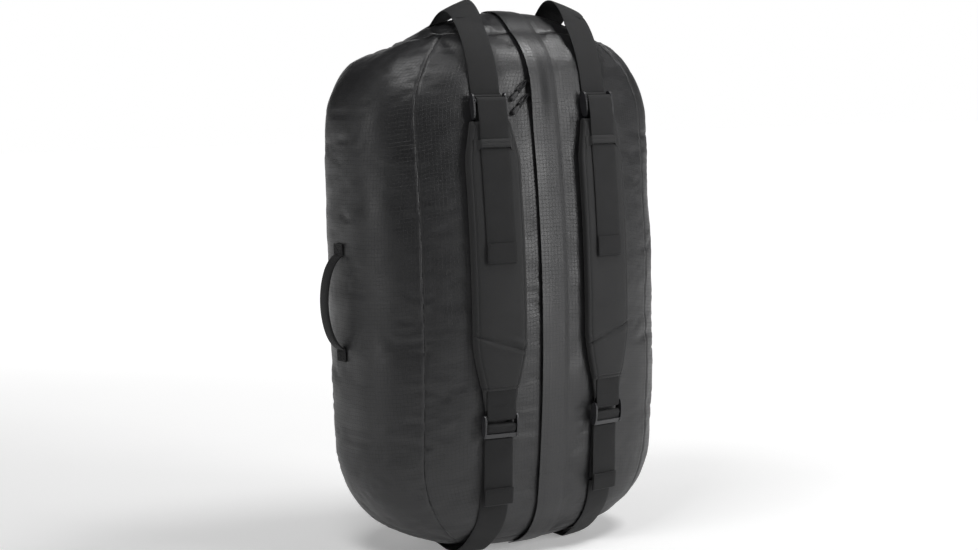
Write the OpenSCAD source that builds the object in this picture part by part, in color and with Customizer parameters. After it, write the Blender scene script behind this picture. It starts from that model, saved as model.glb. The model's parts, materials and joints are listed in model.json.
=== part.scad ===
// A large soft duffel bag with two padded shoulder straps, standing on its end.
// +Z is up, the front with the zip and the straps faces -Y, and the origin is on the floor
// under the middle of the bag. Heights named h are measured from the middle of the body.

/* [Body] */
// Width across the two side panels
body_w = 460; // [430:5:490]
// Depth from front to back at mid height
body_d = 310; // [290:5:330]
// Height from the middle to the pole of a rounded end
pole_h = 360; // [358:1:366]
// Height from the middle down to the flattened base
base_h = 356; // [354:0.5:356]
// Extra rise of the stuffed top end
top_rise = 20; // [0:1:30]
// How far the stuffed top end falls away towards the back
top_slump = 22; // [0:1:24]
// Squareness of the horizontal section, where 2 is an ellipse
section_n = 2.6; // [2.4:0.1:2.8]
// Squareness of the rounded ends
crown_p = 2.35; // [2.2:0.05:2.5]
// Height above the middle where the width starts to close
side_start = 208; // [200:1:215]
// Height above the middle where the depth starts to close
front_start = 275; // [270:1:280]
// Radius of the slow bow of the front and the back
bow_r = 1700; // [1600:10:1900]
// Thickness of the coated shell fabric with its lining
shell_t = 2.4; // [1.6:0.2:3]
// Thickness of the doubled base panel
base_t = 5; // [4:0.5:6]

/* [Zip and storm flap] */
// Sideways place of the zip
zip_x = -8; // [-12:1:-4]
// Height of the top end of the zip
zip_top = 292; // [288:1:296]
// Height of the lower end of the zip
zip_base = -272; // [-276:1:-266]
// Width of the slit that the zip closes
slit_w = 14; // [12:1:16]
// Height of the lower slider when the bag is closed
lower_slider_h = 256; // [230:1:256]
// Height of the upper slider when the bag is closed
upper_slider_h = 274; // [274:1:280]
// Length of a zip pull from its cord knot to the end of its grip
pull_len = 28; // [20:1:28]
// Free edge of the storm flap
flap_free_x = -20; // [-22:1:-18]
// Sewn edge of the storm flap
flap_sewn_x = 24; // [20:1:30]
// Half height of the part of the flap that lifts
flap_lift_h = 150; // [120:5:180]

/* [Shoulder straps] */
// Distance of each strap from the middle of the bag
strap_x = 84; // [82:1:88]
// Width of the strap webbing
web_w = 40; // [36:1:40]
// Thickness of the webbing
web_t = 1.6; // [1.2:0.1:1.8]
// Height of the top edge of a pad
pad_top = 222; // [215:1:222]
// Height of the lower edge of a pad
pad_base = -122; // [-126:1:-118]
// Width of a pad along its middle
pad_w = 72; // [64:1:72]
// Thickness of a pad with its cover and mesh
pad_t = 11; // [9:0.5:11]
// Height of the middle of the keeper loop
keeper_h = 194; // [188:1:198]
// Height of the end of the upper free webbing
tail_end_h = 42; // [30:1:60]
// Height of the end of the lower free webbing
lower_end_h = -276; // [-280:1:-270]

/* [Haul bands and side handles] */
// How far the haul band stands off the top end as a hand loop
haul_lift = 24; // [12:1:26]
// Width of a side handle
handle_w = 25; // [20:1:28]
// Place of the side handles behind the middle
handle_y = 9; // [0:1:20]
// How far a side handle stands out
handle_out = 25.5; // [24:0.5:32]
// Height of the upper foot of a side handle
handle_top = 50; // [44:1:56]
// Height of the lower foot of a side handle
handle_base = -73; // [-80:1:-66]

/* [Hidden] */
$fn = 24;
eps = 0.5;
end_seam = 338;
corner_f = 45;
seam_alpha = asin(pow((end_seam - side_start) / (pole_h - side_start), crown_p / 2));
base_alpha = asin(pow((base_h - side_start) / (pole_h - side_start), crown_p / 2));
straight_rings = 6;
crown_rings = 7;
bow_y = bow_r - body_d / 2;
shell_color = [0.16, 0.16, 0.17];
web_color = [0.10, 0.10, 0.11];
hard_color = [0.05, 0.05, 0.06];
band_clear = 1.8;
base_lift = 8;
base_clear = 3;
flap_free_off = 6.4;
flap_sewn_off = 1.2;
flap_t = 1.4;
tape_top = 284;
mesh_t = 1.2;
cover_t = 1.2;
pad_off = 1;
tail_off = pad_off + pad_t + 1.6;
layer_gap = 0.15;
loop_from = 1.15;
loop_peak = 1.56;
loop_to = 1.95;
swing_off = 4;
swing_h = 254;
wrap_off = 11.4;
wrap_h = 248;
tab_h = -160;
tab_off = 7.5;
lock_bar_h = -172;
lock_bar_off = 8.6;
lip_h = -183;
tail_top_h = -189.1;
run_top_h = -176;
run_base_h = -262;
slider_len = 14;
cord_off = 2.3;
handle_gap = 12;

// ---- Shape of the stuffed bag ----

// Share of the full width or depth that is left at height h
function crown(h, start) =
  pow(max(0, 1 - pow(max(0, (abs(h) - start) / (pole_h - start)), crown_p)), 1 / crown_p);
function half_w(h) = body_w / 2 * crown(h, side_start);
function half_d(h) = (sqrt(bow_r * bow_r - h * h) - bow_y) * crown(h, front_start);
function seam_share(h) = half_w(h) / half_w(end_seam);
function rise(h) = h > end_seam ? top_rise * (1 - pow(seam_share(h), 2)) : 0;
function z_at(h) = base_h + h + rise(h);
function ease(t) = let (u = min(1, max(0, t))) u * u * (3 - 2 * u);
// Fall of the top end at depth y. It is level close to the pole
function slump(y, h) = top_slump * ease((h - 300) / 60) * ease(((h > 359 ? 0 : y) + 75) / 110);
function signed_pow(v) = sign(v) * pow(abs(v), 2 / section_n);
function section_share(x, h) = pow(max(0, 1 - pow(min(1, abs(x) / half_w(h)), section_n)), 1 / section_n);
function front_y(x, h) = -half_d(h) * section_share(x, h);
function angle_at(x, a) =
  x < 0 ? -180 + acos(pow(-x / a, section_n / 2)) : -acos(pow(x / a, section_n / 2));
function h_of(alpha) = side_start + (pole_h - side_start) * pow(sin(alpha), 2 / crown_p);

// Point on the front at x and h, off millimetres out of the fabric
function on_front(x, h, off) =
  let (
    t = [front_y(x, h + eps) - front_y(x, h - eps), z_at(h + eps) - z_at(h - eps)],
    u = t / norm(t)
  ) [x, front_y(x, h) - off * u[1], z_at(h) + off * u[0]];

// Loop round the bag at a fixed x: s is 0 at the front, 2 on top, 4 at the back and -2 below
function loop_alpha(x, m) = acos(pow(abs(x) / (body_w / 2), crown_p / 2)) * (1 - pow(2 - m, section_n));
function loop_m(s) = abs(s) > 2 ? 4 - abs(s) : abs(s);
function loop_h(x, s) =
  sign(s) * (loop_m(s) <= 1 ? loop_m(s) * side_start : h_of(loop_alpha(x, loop_m(s))));
function loop_yz(x, s) =
  let (h = loop_h(x, s), y = (abs(s) > 2 ? -1 : 1) * front_y(x, h)) [y, z_at(h) - slump(y, h)];
function on_loop(x, s, off) =
  let (t = loop_yz(x, s + 0.01) - loop_yz(x, s - 0.01), u = t / norm(t), p = loop_yz(x, s))
  [x, p[0] - off * u[1], p[1] + off * u[0]];
// Place on the loop of a point of the front at height h
function loop_s(x, h) =
  let (
    sin_a = pow(max(0, (abs(h) - side_start) / (pole_h - side_start)), crown_p / 2),
    top = acos(pow(abs(x) / (body_w / 2), crown_p / 2))
  )
  sign(h) * (abs(h) <= side_start ? abs(h) / side_start : 2 - pow(1 - asin(sin_a) / top, 1 / section_n));

// ---- Closed meshes from rings and grids of points ----

function flat(lists) = [for (l = lists) for (p = l) p];

module loft(rings) {
  k = len(rings[0]);
  last = len(rings) - 1;
  polyhedron(
    points = flat(rings),
    faces = concat(
      [[for (j = [0:k - 1]) j]],
      [[for (j = [0:k - 1]) last * k + k - 1 - j]],
      flat([for (i = [0:last - 1]) for (j = [0:k - 1])
        let (a = i * k + j, b = i * k + (j + 1) % k) [[a, a + k, b], [b, a + k, b + k]]])
    )
  );
}

// Fabric sheet between an outer and an inner grid of the same size
module sheet(outer, inner) {
  rows = len(outer);
  cols = len(outer[0]);
  n = rows * cols;
  rim = concat(
    [for (j = [0:cols - 1]) j],
    [for (i = [1:rows - 1]) i * cols + cols - 1],
    [for (j = [cols - 2:-1:0]) (rows - 1) * cols + j],
    [for (i = [rows - 2:-1:1]) i * cols]
  );
  polyhedron(
    points = concat(flat(outer), flat(inner)),
    faces = concat(
      flat([for (i = [0:rows - 2]) for (j = [0:cols - 2]) let (a = i * cols + j)
        [[a, a + cols, a + 1], [a + 1, a + cols, a + cols + 1],
         [n + a, n + a + 1, n + a + cols], [n + a + 1, n + a + cols + 1, n + a + cols]]]),
      flat([for (i = [0:len(rim) - 1]) let (a = rim[i], b = rim[(i + 1) % len(rim)])
        [[a, b, n + a], [b, n + b, n + a]]])
    )
  );
}

// ---- Shell panels ----

function ring_h(i) =
  abs(i) <= straight_rings
    ? i * side_start / straight_rings
    : sign(i) * h_of((abs(i) - straight_rings) * seam_alpha / crown_rings);
function fabric_z(h, inset) =
  z_at(h) - sign(h) * inset * sqrt(max(0, 1 - pow(2 * half_w(h) / body_w, 2)));
function arc_row(h, f1, f2, steps, inset) =
  [for (j = [0:steps]) let (f = f1 + (f2 - f1) * j / steps)
    [(half_w(h) - inset) * signed_pow(cos(f)), (half_d(h) - inset) * signed_pow(sin(f)),
     fabric_z(h, inset) - slump(half_d(h) * signed_pow(sin(f)), h)]];
function slit_half(h) = abs(h) < 300 ? slit_w / 2 : 0;
last_ring = straight_rings + crown_rings;

module wall(rows) {
  sheet([for (r = rows) arc_row(r[0], r[1], r[2], r[3], 0)],
        [for (r = rows) arc_row(r[0], r[1], r[2], r[3], shell_t)]);
}

module front_panel_left() {
  color(shell_color)
    wall([for (i = [-last_ring:last_ring]) let (h = ring_h(i))
      [h, -180 + corner_f, angle_at(zip_x - slit_half(h), half_w(h)), 8]]);
}

module front_panel_right() {
  color(shell_color)
    wall([for (i = [-last_ring:last_ring]) let (h = ring_h(i))
      [h, angle_at(zip_x + slit_half(h), half_w(h)), -corner_f, 8]]);
}

module side_panel_right() {
  color(shell_color * 0.8) wall([for (i = [-last_ring:last_ring]) [ring_h(i), -corner_f, corner_f, 10]]);
}

module side_panel_left() {
  color(shell_color * 0.8)
    wall([for (i = [-last_ring:last_ring]) [ring_h(i), 180 - corner_f, 180 + corner_f, 10]]);
}

module back_panel() {
  color(shell_color) wall([for (i = [-last_ring:last_ring]) [ring_h(i), corner_f, 180 - corner_f, 14]]);
}

// One whole turn of the section, with the same points as the wall panels' edges
function turn(h, inset) =
  let (a = half_w(h), split = angle_at(zip_x * min(1, seam_share(h)), a), rows = [
    arc_row(h, -180 + corner_f, split, 8, inset), arc_row(h, split, -corner_f, 8, inset),
    arc_row(h, -corner_f, corner_f, 10, inset), arc_row(h, corner_f, 180 - corner_f, 14, inset),
    arc_row(h, 180 - corner_f, 180 + corner_f, 10, inset)])
  [for (r = rows) for (j = [0:len(r) - 2]) r[j]];

// Dome between the end seam and the pole, closed at its middle
module ring_shell(outer, inner) {
  k = len(outer[0]);
  rows = len(outer);
  n = rows * k;
  polyhedron(
    points = concat(flat(outer), flat(inner)),
    faces = concat(
      flat([for (i = [0:rows - 2]) for (j = [0:k - 1])
        let (a = i * k + j, b = i * k + (j + 1) % k)
        [[a, a + k, b], [b, a + k, b + k], [n + a, n + b, n + a + k], [n + b, n + b + k, n + a + k]]]),
      flat([for (j = [0:k - 1]) let (b = (j + 1) % k) [[j, b, n + j], [b, n + b, n + j]]]),
      [[for (j = [0:k - 1]) n - k + k - 1 - j], [for (j = [0:k - 1]) 2 * n - k + j]]
    )
  );
}

module top_end_panel() {
  heights = concat([end_seam], [for (i = [1:4]) h_of(seam_alpha + i * (84 - seam_alpha) / 4)]);
  color(shell_color * 1.1)
    ring_shell([for (h = heights) turn(h, 0)], [for (h = heights) turn(h, shell_t)]);
}

module base_end_panel() {
  heights = [for (i = [0:3]) -h_of(seam_alpha + i * (base_alpha - seam_alpha) / 3)];
  color(shell_color * 1.1)
    difference() {
      mirror([0, 0, 1])
        ring_shell(
          [for (h = heights) [for (p = turn(h, 0)) [p[0], p[1], -p[2]]]],
          [for (h = heights) [for (p = turn(h, shell_t)) [p[0], p[1], -max(p[2], base_t)]]]
        );
      for (side = [-1, 1])
        translate([side * strap_x - web_w / 2 - 2, -90, -1]) cube([web_w + 4, 180, 1 + web_t + 2]);
    }
}

// ---- Ribbons of fabric and webbing ----

// Ring of a ribbon between two places, each given as [h, offset]
function ribbon_ring(x1, x2, a, b) =
  [on_front(x1, a[0], a[1]), on_front(x2, a[0], a[1]), on_front(x2, b[0], b[1]), on_front(x1, b[0], b[1])];
function web_ring(side, a, b) = ribbon_ring(side * strap_x - web_w / 2, side * strap_x + web_w / 2, a, b);
// Flat webbing at height h, with its two faces at these offsets
function web_at(side, h, a, b) = web_ring(side, [h, a], [h, b]);
// Webbing round a bar at [h, offset]: f is 0 in front of the bar, 90 below it and 180 behind it
function web_turn(side, bar, f, ra, rb) =
  web_ring(side, [bar[0] - ra * sin(f), bar[1] + ra * cos(f)], [bar[0] - rb * sin(f), bar[1] + rb * cos(f)]);

// Keeps a point of the webbing on or above the floor
function above(p, z) = [p[0], p[1], max(p[2], z)];

// Webbing round the bag at place s on the loop, lifted off it from one place through a peak to another
function band_ring(x1, x2, s, lift, places, clear = band_clear) =
  let (off = clear + lift * ease((s - places[0]) / (places[1] - places[0]))
                               * ease((places[2] - s) / (places[2] - places[1])))
  [above(on_loop(x1, s, off), web_t), above(on_loop(x2, s, off), web_t),
   above(on_loop(x2, s, off + web_t), 0), above(on_loop(x1, s, off + web_t), 0)];

// ---- Zip ----

// Ring segment about the zip's own bow axis, with a rectangular section
module zip_arc(x1, x2, off1, off2, top) {
  up = asin(top / bow_r);
  down = asin(-zip_base / bow_r);
  translate([zip_x, bow_y, base_h])
    rotate([0, 90, 0])
      rotate([0, 0, -90 - up])
        rotate_extrude(angle = up + down)
          polygon([[bow_r + off1, x1], [bow_r + off2, x1], [bow_r + off2, x2], [bow_r + off1, x2]]);
}

module zip_tape_left() {
  color(web_color) zip_arc(-15, -0.9, -4.4, -3.4, tape_top);
}

module zip_tape_right() {
  color(web_color) zip_arc(0.9, 15, -4.4, -3.4, tape_top);
}

module zip_coil_left() {
  color(hard_color) zip_arc(-3.6, -0.9, -3.3, -0.6, zip_top);
}

module zip_coil_right() {
  color(hard_color) zip_arc(0.9, 3.6, -3.3, -0.6, zip_top);
}

module zip_end(h1, h2) {
  color(web_color)
    loft([for (i = [0:6]) let (h = h1 + (h2 - h1) * i / 6)
      ribbon_ring(zip_x - 11, zip_x + 11, [h, 0.3], [h, 1.2])]);
}

module zip_end_top() {
  zip_end(zip_top + 1, 312);
}

module zip_end_base() {
  zip_end(-300, zip_base - 3);
}

// Puts a child at height h on the zip, with -Y out of the bag
module at_zip(h) {
  translate([zip_x, bow_y, base_h]) rotate([-asin(h / bow_r), 0, 0]) translate([0, -bow_r, 0]) children();
}

module slider() {
  half = slider_len / 2;
  color([0.3, 0.3, 0.31]) {
    translate([-5, -1, -half]) cube([10, 1.1, slider_len]);
    translate([-5, 4.7, -half]) cube([10, 1.2, slider_len]);
    translate([-0.5, 0.05, half - 5]) cube([1, 4.7, 5]);
    for (side = [-1, 1]) translate([side * 4.5 - 0.5, 0.05, -half]) cube([1, 2.1, slider_len]);
    // Eye for the cord
    difference() {
      translate([-1.5, -3.9, -4]) cube([3, 3, 8]);
      translate([-2, -cord_off, 0]) rotate([0, 90, 0]) cylinder(r = 1.2, h = 4);
    }
  }
}

module lower_slider() {
  at_zip(lower_slider_h) slider();
}

module upper_slider() {
  at_zip(upper_slider_h) slider();
}

// Cord that leads from the slider's eye to the edge of the flap
module cord_bight() {
  color(web_color) translate([-14.2, -cord_off, 0]) rotate([0, 90, 0]) cylinder(r = 1.1, h = 16.6);
}

module lower_cord_bight() {
  at_zip(lower_slider_h) cord_bight();
}

module upper_cord_bight() {
  at_zip(upper_slider_h) cord_bight();
}

// A pull points down and to the left, away from the zip
module at_pull(h) {
  at_zip(h) translate([-15.4, -cord_off, 0]) rotate([0, 45, 0]) children();
}

module pull_cord() {
  color(web_color)
    for (side = [-1, 1])
      translate([side * 1.6, 0, -(pull_len - 12)]) cylinder(r = 1, h = pull_len - 13);
}

module pull_grip() {
  color(hard_color) {
    translate([-3, -1.8, -pull_len + 3]) cube([6, 3.6, 9]);
    translate([0, 1.8, -pull_len + 3]) rotate([90, 0, 0]) cylinder(r = 3, h = 3.6);
  }
}

module lower_pull_cord() {
  at_pull(lower_slider_h) pull_cord();
}

module lower_pull_grip() {
  at_pull(lower_slider_h) pull_grip();
}

module upper_pull_cord() {
  at_pull(upper_slider_h) pull_cord();
}

module upper_pull_grip() {
  at_pull(upper_slider_h) pull_grip();
}

// ---- Storm flap ----

// The sewn edge lies on the bag and the free edge stands clear of the sliders
function flap_ring(place, out) =
  let (free = flap_free_off - out, sewn = flap_sewn_off)
  [place(flap_free_x, free), place(flap_sewn_x, sewn),
   place(flap_sewn_x, sewn + flap_t), place(flap_free_x, free + flap_t)];
// Section of the flap across the front at height h
function flap_at(h) = flap_ring(function (x, off) on_front(x, h, off), 0);
// Section over a rounded end, where the free edge comes down to the fabric by the share low
function flap_over(s, low) =
  flap_ring(function (x, off) on_loop(x, s, off), (1 - low) * (flap_free_off - flap_sewn_off));

module storm_flap() {
  color(shell_color * 1.2) loft([for (i = [0:16]) flap_at(-flap_lift_h + i * flap_lift_h / 8)]);
}

module storm_flap_end(sgn) {
  first = flap_lift_h + 0.6;
  last = end_seam - 14;
  s_from = loop_s(flap_sewn_x, last);
  s_end = sgn > 0 ? 1.72 : 1.48;
  // Up the front by height, then over the rounded end
  rings = concat(
    [for (i = [0:14]) flap_at(sgn * (first + i * (last - first) / 14))],
    [for (i = [1:6]) flap_over(sgn * (s_from + i * (s_end - s_from) / 6), 1 - i / 6)]
  );
  n = len(rings) - 1;
  color(shell_color * 1.2) loft(sgn > 0 ? rings : [for (i = [0:n]) rings[n - i]]);
}

module storm_flap_top_end() {
  storm_flap_end(1);
}

module storm_flap_base_end() {
  storm_flap_end(-1);
}

// ---- Haul bands ----

// From the pivot bar of the upper buckle, over the top end as a hand loop, to the back
module haul_band_top(side) {
  x1 = side * strap_x - web_w / 2;
  x2 = x1 + web_w;
  s1 = loop_s(strap_x, swing_h + 12);
  color(web_color)
    loft(concat(
      [for (f = [-60:30:180]) web_turn(side, [swing_h, swing_off], f, 2.1 + web_t, 2.1)],
      [web_at(side, swing_h + 6, 0.9, 0.9 + web_t)],
      [for (i = [0:30]) band_ring(x1, x2, s1 + (2.75 - s1) * i / 30, haul_lift,
                                  [loop_from, loop_peak, loop_to])]
    ));
}

module haul_band_back(side) {
  x1 = side * strap_x - web_w / 2;
  places = concat([for (i = [0:22]) 2.76 + 1.24 * i / 22], [for (i = [1:22]) -4 + 1.24 * i / 22]);
  color(web_color) loft([for (s = places) band_ring(x1, x1 + web_w, s, 0, [0, 1, 2])]);
}

// Under the base, with a slack stretch below the front of the bag
module haul_band_base(side) {
  x1 = side * strap_x - web_w / 2;
  s2 = -loop_s(strap_x, -run_base_h + 4);
  color(web_color)
    loft([for (i = [0:36]) band_ring(x1, x1 + web_w, -2.75 + (s2 + 2.75) * i / 36, base_lift,
                                     [-2, -1.65, -1.3], base_clear)]);
}

module haul_band_top_left() {
  haul_band_top(-1);
}

module haul_band_top_right() {
  haul_band_top(1);
}

module haul_band_back_left() {
  haul_band_back(-1);
}

module haul_band_back_right() {
  haul_band_back(1);
}

module haul_band_base_left() {
  haul_band_base(-1);
}

module haul_band_base_right() {
  haul_band_base(1);
}

// ---- Shoulder straps ----

// Puts a child on a strap's middle line, with -Y out of the bag and X along the buckle bars
module at_strap(side, h, off) {
  edges = [for (e = [-1, 1]) on_front(side * strap_x + e * web_w / 2, h, off)];
  slope = atan2(front_y(strap_x, h + eps) - front_y(strap_x, h - eps), z_at(h + eps) - z_at(h - eps));
  lean = atan2(edges[1][1] - edges[0][1], web_w);
  translate((edges[0] + edges[1]) / 2) rotate([0, 0, lean]) rotate([-slope, 0, 0]) children();
}

module bar(r, dx = 0) {
  rotate([0, 90, 0]) cylinder(r = r, h = web_w + 4 + dx, center = true);
}

// Rounded side plate of a buckle, long way up
module plate(side, height, depth) {
  translate([side * (web_w / 2 + 2.7), 0, 0])
    rotate([90, 0, 90])
      linear_extrude(height = 2.6, center = true)
        polygon([for (i = [0:23]) let (f = 15 * i)
          [depth / 2 * sign(cos(f)) * pow(abs(cos(f)), 0.8),
           height / 2 * sign(sin(f)) * pow(abs(sin(f)), 0.8)]]);
}

module upper_buckle(side) {
  color(hard_color) {
    at_strap(side, 241.5, 7.8) for (e = [-1, 1]) plate(e, 34, 12.8);
    at_strap(side, swing_h, swing_off) bar(1.6);
    at_strap(side, wrap_h, wrap_off) bar(3.2);
    at_strap(side, 230, 4.2) bar(1.4);
  }
}

// Webbing from the pad, round the buckle's front bar and down to the keeper
module upper_webbing(side) {
  r = 3.4;
  back = wrap_off - r;
  front = wrap_off + r;
  color(web_color)
    loft(concat(
      [web_at(side, pad_top + 0.1, back - web_t, back)],
      [for (f = [-180:30:0]) web_turn(side, [wrap_h, wrap_off], f, r + web_t, r)],
      [web_at(side, wrap_h - 12, front - 0.3 + web_t, front - 0.3)],
      [for (h = [keeper_h + 8, keeper_h - 6]) web_at(side, h, tail_off + web_t, tail_off)]
    ));
}

// Half width of a pad at height h: narrow at the buckle end and at the tab end
function pad_half(h) =
  h > 170 ? pad_w / 2 - 10 * pow((h - 170) / (pad_top - 170), 2)
  : h < -60 ? pad_w / 2 - 12 * pow((-60 - h) / (-60 - pad_base), 1.4)
  : pad_w / 2;

// Layer of a pad, curved across its width as the bag is
module pad_layer(side, inner, outer) {
  steps = 16;
  loft([for (i = [0:steps])
    let (
      h = pad_base + (pad_top - pad_base) * i / steps,
      xs = [for (j = [-2:2]) side * strap_x + j / 2 * pad_half(h)]
    )
    concat([for (j = [0:4]) on_front(xs[j], h, inner)], [for (j = [4:-1:0]) on_front(xs[j], h, outer)])]);
}

module pad_mesh(side) {
  color(web_color * 1.5) pad_layer(side, pad_off, pad_off + mesh_t);
}

module pad_foam(side) {
  color([0.25, 0.25, 0.26])
    pad_layer(side, pad_off + mesh_t + layer_gap, pad_off + pad_t - cover_t - layer_gap);
}

module pad_cover(side) {
  color(web_color * 1.2) pad_layer(side, pad_off + pad_t - cover_t, pad_off + pad_t);
}

// Fabric loop that holds the upper webbing down on the pad
module keeper(side) {
  color(web_color * 1.3)
    at_strap(side, keeper_h, pad_off + pad_t + 2.85)
      difference() {
        cube([web_w + 9, 4, 9], center = true);
        cube([web_w + 1.6, 3, 12], center = true);
      }
}

// Free end of the webbing, folded and sewn at its tip
module upper_tail(side) {
  first = keeper_h - 7.6;
  fold = tail_end_h + 25;
  color(web_color)
    loft(concat(
      [for (h = [tail_end_h, fold]) web_at(side, h, tail_off, tail_off + 2 * web_t)],
      [for (i = [0:6]) web_at(side, fold + 0.4 + i * (first - fold - 0.4) / 6, tail_off, tail_off + web_t)]
    ));
}

// Short webbing sewn into the pad, looped round the top bar of the ladder lock
module lower_tab(side) {
  r = 2.5;
  color(web_color)
    loft(concat(
      [for (f = [240:-30:0]) web_turn(side, [tab_h, tab_off], f, r, r + web_t)],
      [web_at(side, pad_base - 0.1, tab_off - 0.6, tab_off - 0.6 + web_t)]
    ));
}

module ladder_lock(side) {
  color(hard_color) {
    at_strap(side, -171, 8.4) for (e = [-1, 1]) plate(e, 31, 11.6);
    at_strap(side, tab_h, tab_off) bar(2.2);
    at_strap(side, lock_bar_h, lock_bar_off) bar(2.8);
    // Lip that is lifted to let the webbing out
    at_strap(side, lip_h, 10.2) rotate([28, 0, 0]) cube([web_w + 4, 2.4, 7], center = true);
  }
}

// Webbing that comes up from under the lip and bends over the bar of the ladder lock
module lower_wrap(side) {
  r = 3.1;
  color(web_color)
    loft(concat(
      [web_at(side, tail_top_h + 1.6, 4, 4 + web_t)],
      [for (f = [180:25:280]) web_turn(side, [lock_bar_h, lock_bar_off], f, r + web_t, r)]
    ));
}

// Webbing sewn to the base band that runs up behind the ladder lock
module lower_run(side) {
  color(web_color)
    loft([for (i = [0:4]) web_at(side, run_base_h + (run_top_h - run_base_h) * i / 4, 0.8, 0.8 + web_t)]);
}

// Free end below the ladder lock, hanging clear of the curve of the bag
module lower_tail(side) {
  steps = 6;
  first = tail_top_h;
  color(web_color)
    loft([for (i = [0:steps])
      let (h = lower_end_h + (first - lower_end_h) * i / steps, away = 4 + 6 * pow(1 - i / steps, 2))
      web_at(side, h, away, away + (i < 2 ? 2 : 1) * web_t)]);
}

module upper_buckle_left() {
  upper_buckle(-1);
}

module upper_buckle_right() {
  upper_buckle(1);
}

module upper_webbing_left() {
  upper_webbing(-1);
}

module upper_webbing_right() {
  upper_webbing(1);
}

module pad_mesh_left() {
  pad_mesh(-1);
}

module pad_mesh_right() {
  pad_mesh(1);
}

module pad_foam_left() {
  pad_foam(-1);
}

module pad_foam_right() {
  pad_foam(1);
}

module pad_cover_left() {
  pad_cover(-1);
}

module pad_cover_right() {
  pad_cover(1);
}

module keeper_left() {
  keeper(-1);
}

module keeper_right() {
  keeper(1);
}

module upper_tail_left() {
  upper_tail(-1);
}

module upper_tail_right() {
  upper_tail(1);
}

module lower_tab_left() {
  lower_tab(-1);
}

module lower_tab_right() {
  lower_tab(1);
}

module ladder_lock_left() {
  ladder_lock(-1);
}

module ladder_lock_right() {
  ladder_lock(1);
}

module lower_wrap_left() {
  lower_wrap(-1);
}

module lower_wrap_right() {
  lower_wrap(1);
}

module lower_run_left() {
  lower_run(-1);
}

module lower_run_right() {
  lower_run(1);
}

module lower_tail_left() {
  lower_tail(-1);
}

module lower_tail_right() {
  lower_tail(1);
}

// ---- Side handles ----

handle_t = 3;
handle_mid = (handle_top + handle_base) / 2;
handle_half = (handle_top - handle_base) / 2;

function side_x(y, h) = half_w(h) * pow(1 - pow(abs(y) / half_d(h), section_n), 1 / section_n);
// Arch of the handle: place on the span from -1 to 1 gives how far it stands out
function arch(v) = (handle_out - handle_t) * pow(1 - v * v, 0.62);
function arch_point(v) =
  [side_x(handle_y, handle_mid) + band_clear + arch(v), z_at(handle_mid + handle_half * v)];
function arch_normal(v) =
  let (t = arch_point(min(1, v + 0.01)) - arch_point(max(-1, v - 0.01)), u = t / norm(t)) [u[1], -u[0]];
// Place on the span where the arch reaches a given distance
function arch_v(out) = sqrt(1 - pow(out / (handle_out - handle_t), 1 / 0.62));

function handle_ring(side, p, n, t) =
  let (q = p + n * t, y1 = handle_y - handle_w / 2, y2 = handle_y + handle_w / 2)
  side > 0
    ? [[p[0], y1, p[1]], [p[0], y2, p[1]], [q[0], y2, q[1]], [q[0], y1, q[1]]]
    : [[-p[0], y2, p[1]], [-p[0], y1, p[1]], [-q[0], y1, q[1]], [-q[0], y2, q[1]]];

// Level cut across the arch, so that the moving part turns past the fixed one
function handle_cut(side, v) = handle_ring(side, arch_point(v), [1, 0], handle_t * 1.5);

module side_handle(side) {
  v = arch_v(handle_gap);
  steps = 18;
  color(web_color)
    loft(concat(
      [handle_cut(side, -v)],
      [for (i = [1:steps - 1]) let (w = -v + 2 * v * i / steps)
        handle_ring(side, arch_point(w), arch_normal(w), handle_t)],
      [handle_cut(side, v)]
    ));
}

// The two sewn feet, each with the short bend that stays put
module handle_feet(side) {
  v = arch_v(handle_gap) + 0.8 / handle_half;
  color(web_color)
    for (end = [-1, 1]) {
      rings = concat(
        [for (h = [17, 8, 0.5])
          handle_ring(side, [side_x(handle_y, handle_mid + end * (handle_half + h)) + band_clear,
                             z_at(handle_mid + end * (handle_half + h))], [1, 0], handle_t)],
        // Mitre where the webbing leaves the bag
        [handle_ring(side, arch_point(end * 0.999), [0.7, end * 0.7], handle_t * 1.3)],
        [handle_ring(side, arch_point(end * (v + 0.999) / 2), arch_normal(end * (v + 0.999) / 2), handle_t)],
        [handle_cut(side, end * v)]
      );
      n = len(rings) - 1;
      loft(end < 0 ? rings : [for (i = [0:n]) rings[n - i]]);
    }
}

module side_handle_left() {
  side_handle(-1);
}

module side_handle_right() {
  side_handle(1);
}

module handle_feet_left() {
  handle_feet(-1);
}

module handle_feet_right() {
  handle_feet(1);
}

front_panel_left();
front_panel_right();
side_panel_left();
side_panel_right();
back_panel();
top_end_panel();
base_end_panel();
zip_tape_left();
zip_tape_right();
zip_coil_left();
zip_coil_right();
zip_end_top();
zip_end_base();
storm_flap();
storm_flap_top_end();
storm_flap_base_end();
lower_slider();
lower_cord_bight();
lower_pull_cord();
lower_pull_grip();
upper_slider();
upper_cord_bight();
upper_pull_cord();
upper_pull_grip();
haul_band_top_left();
haul_band_top_right();
haul_band_back_left();
haul_band_back_right();
haul_band_base_left();
haul_band_base_right();
upper_buckle_left();
upper_buckle_right();
upper_webbing_left();
upper_webbing_right();
pad_mesh_left();
pad_mesh_right();
pad_foam_left();
pad_foam_right();
pad_cover_left();
pad_cover_right();
keeper_left();
keeper_right();
upper_tail_left();
upper_tail_right();
lower_tab_left();
lower_tab_right();
ladder_lock_left();
ladder_lock_right();
lower_wrap_left();
lower_wrap_right();
lower_run_left();
lower_run_right();
lower_tail_left();
lower_tail_right();
side_handle_left();
side_handle_right();
handle_feet_left();
handle_feet_right();
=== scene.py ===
import json
import math

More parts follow.
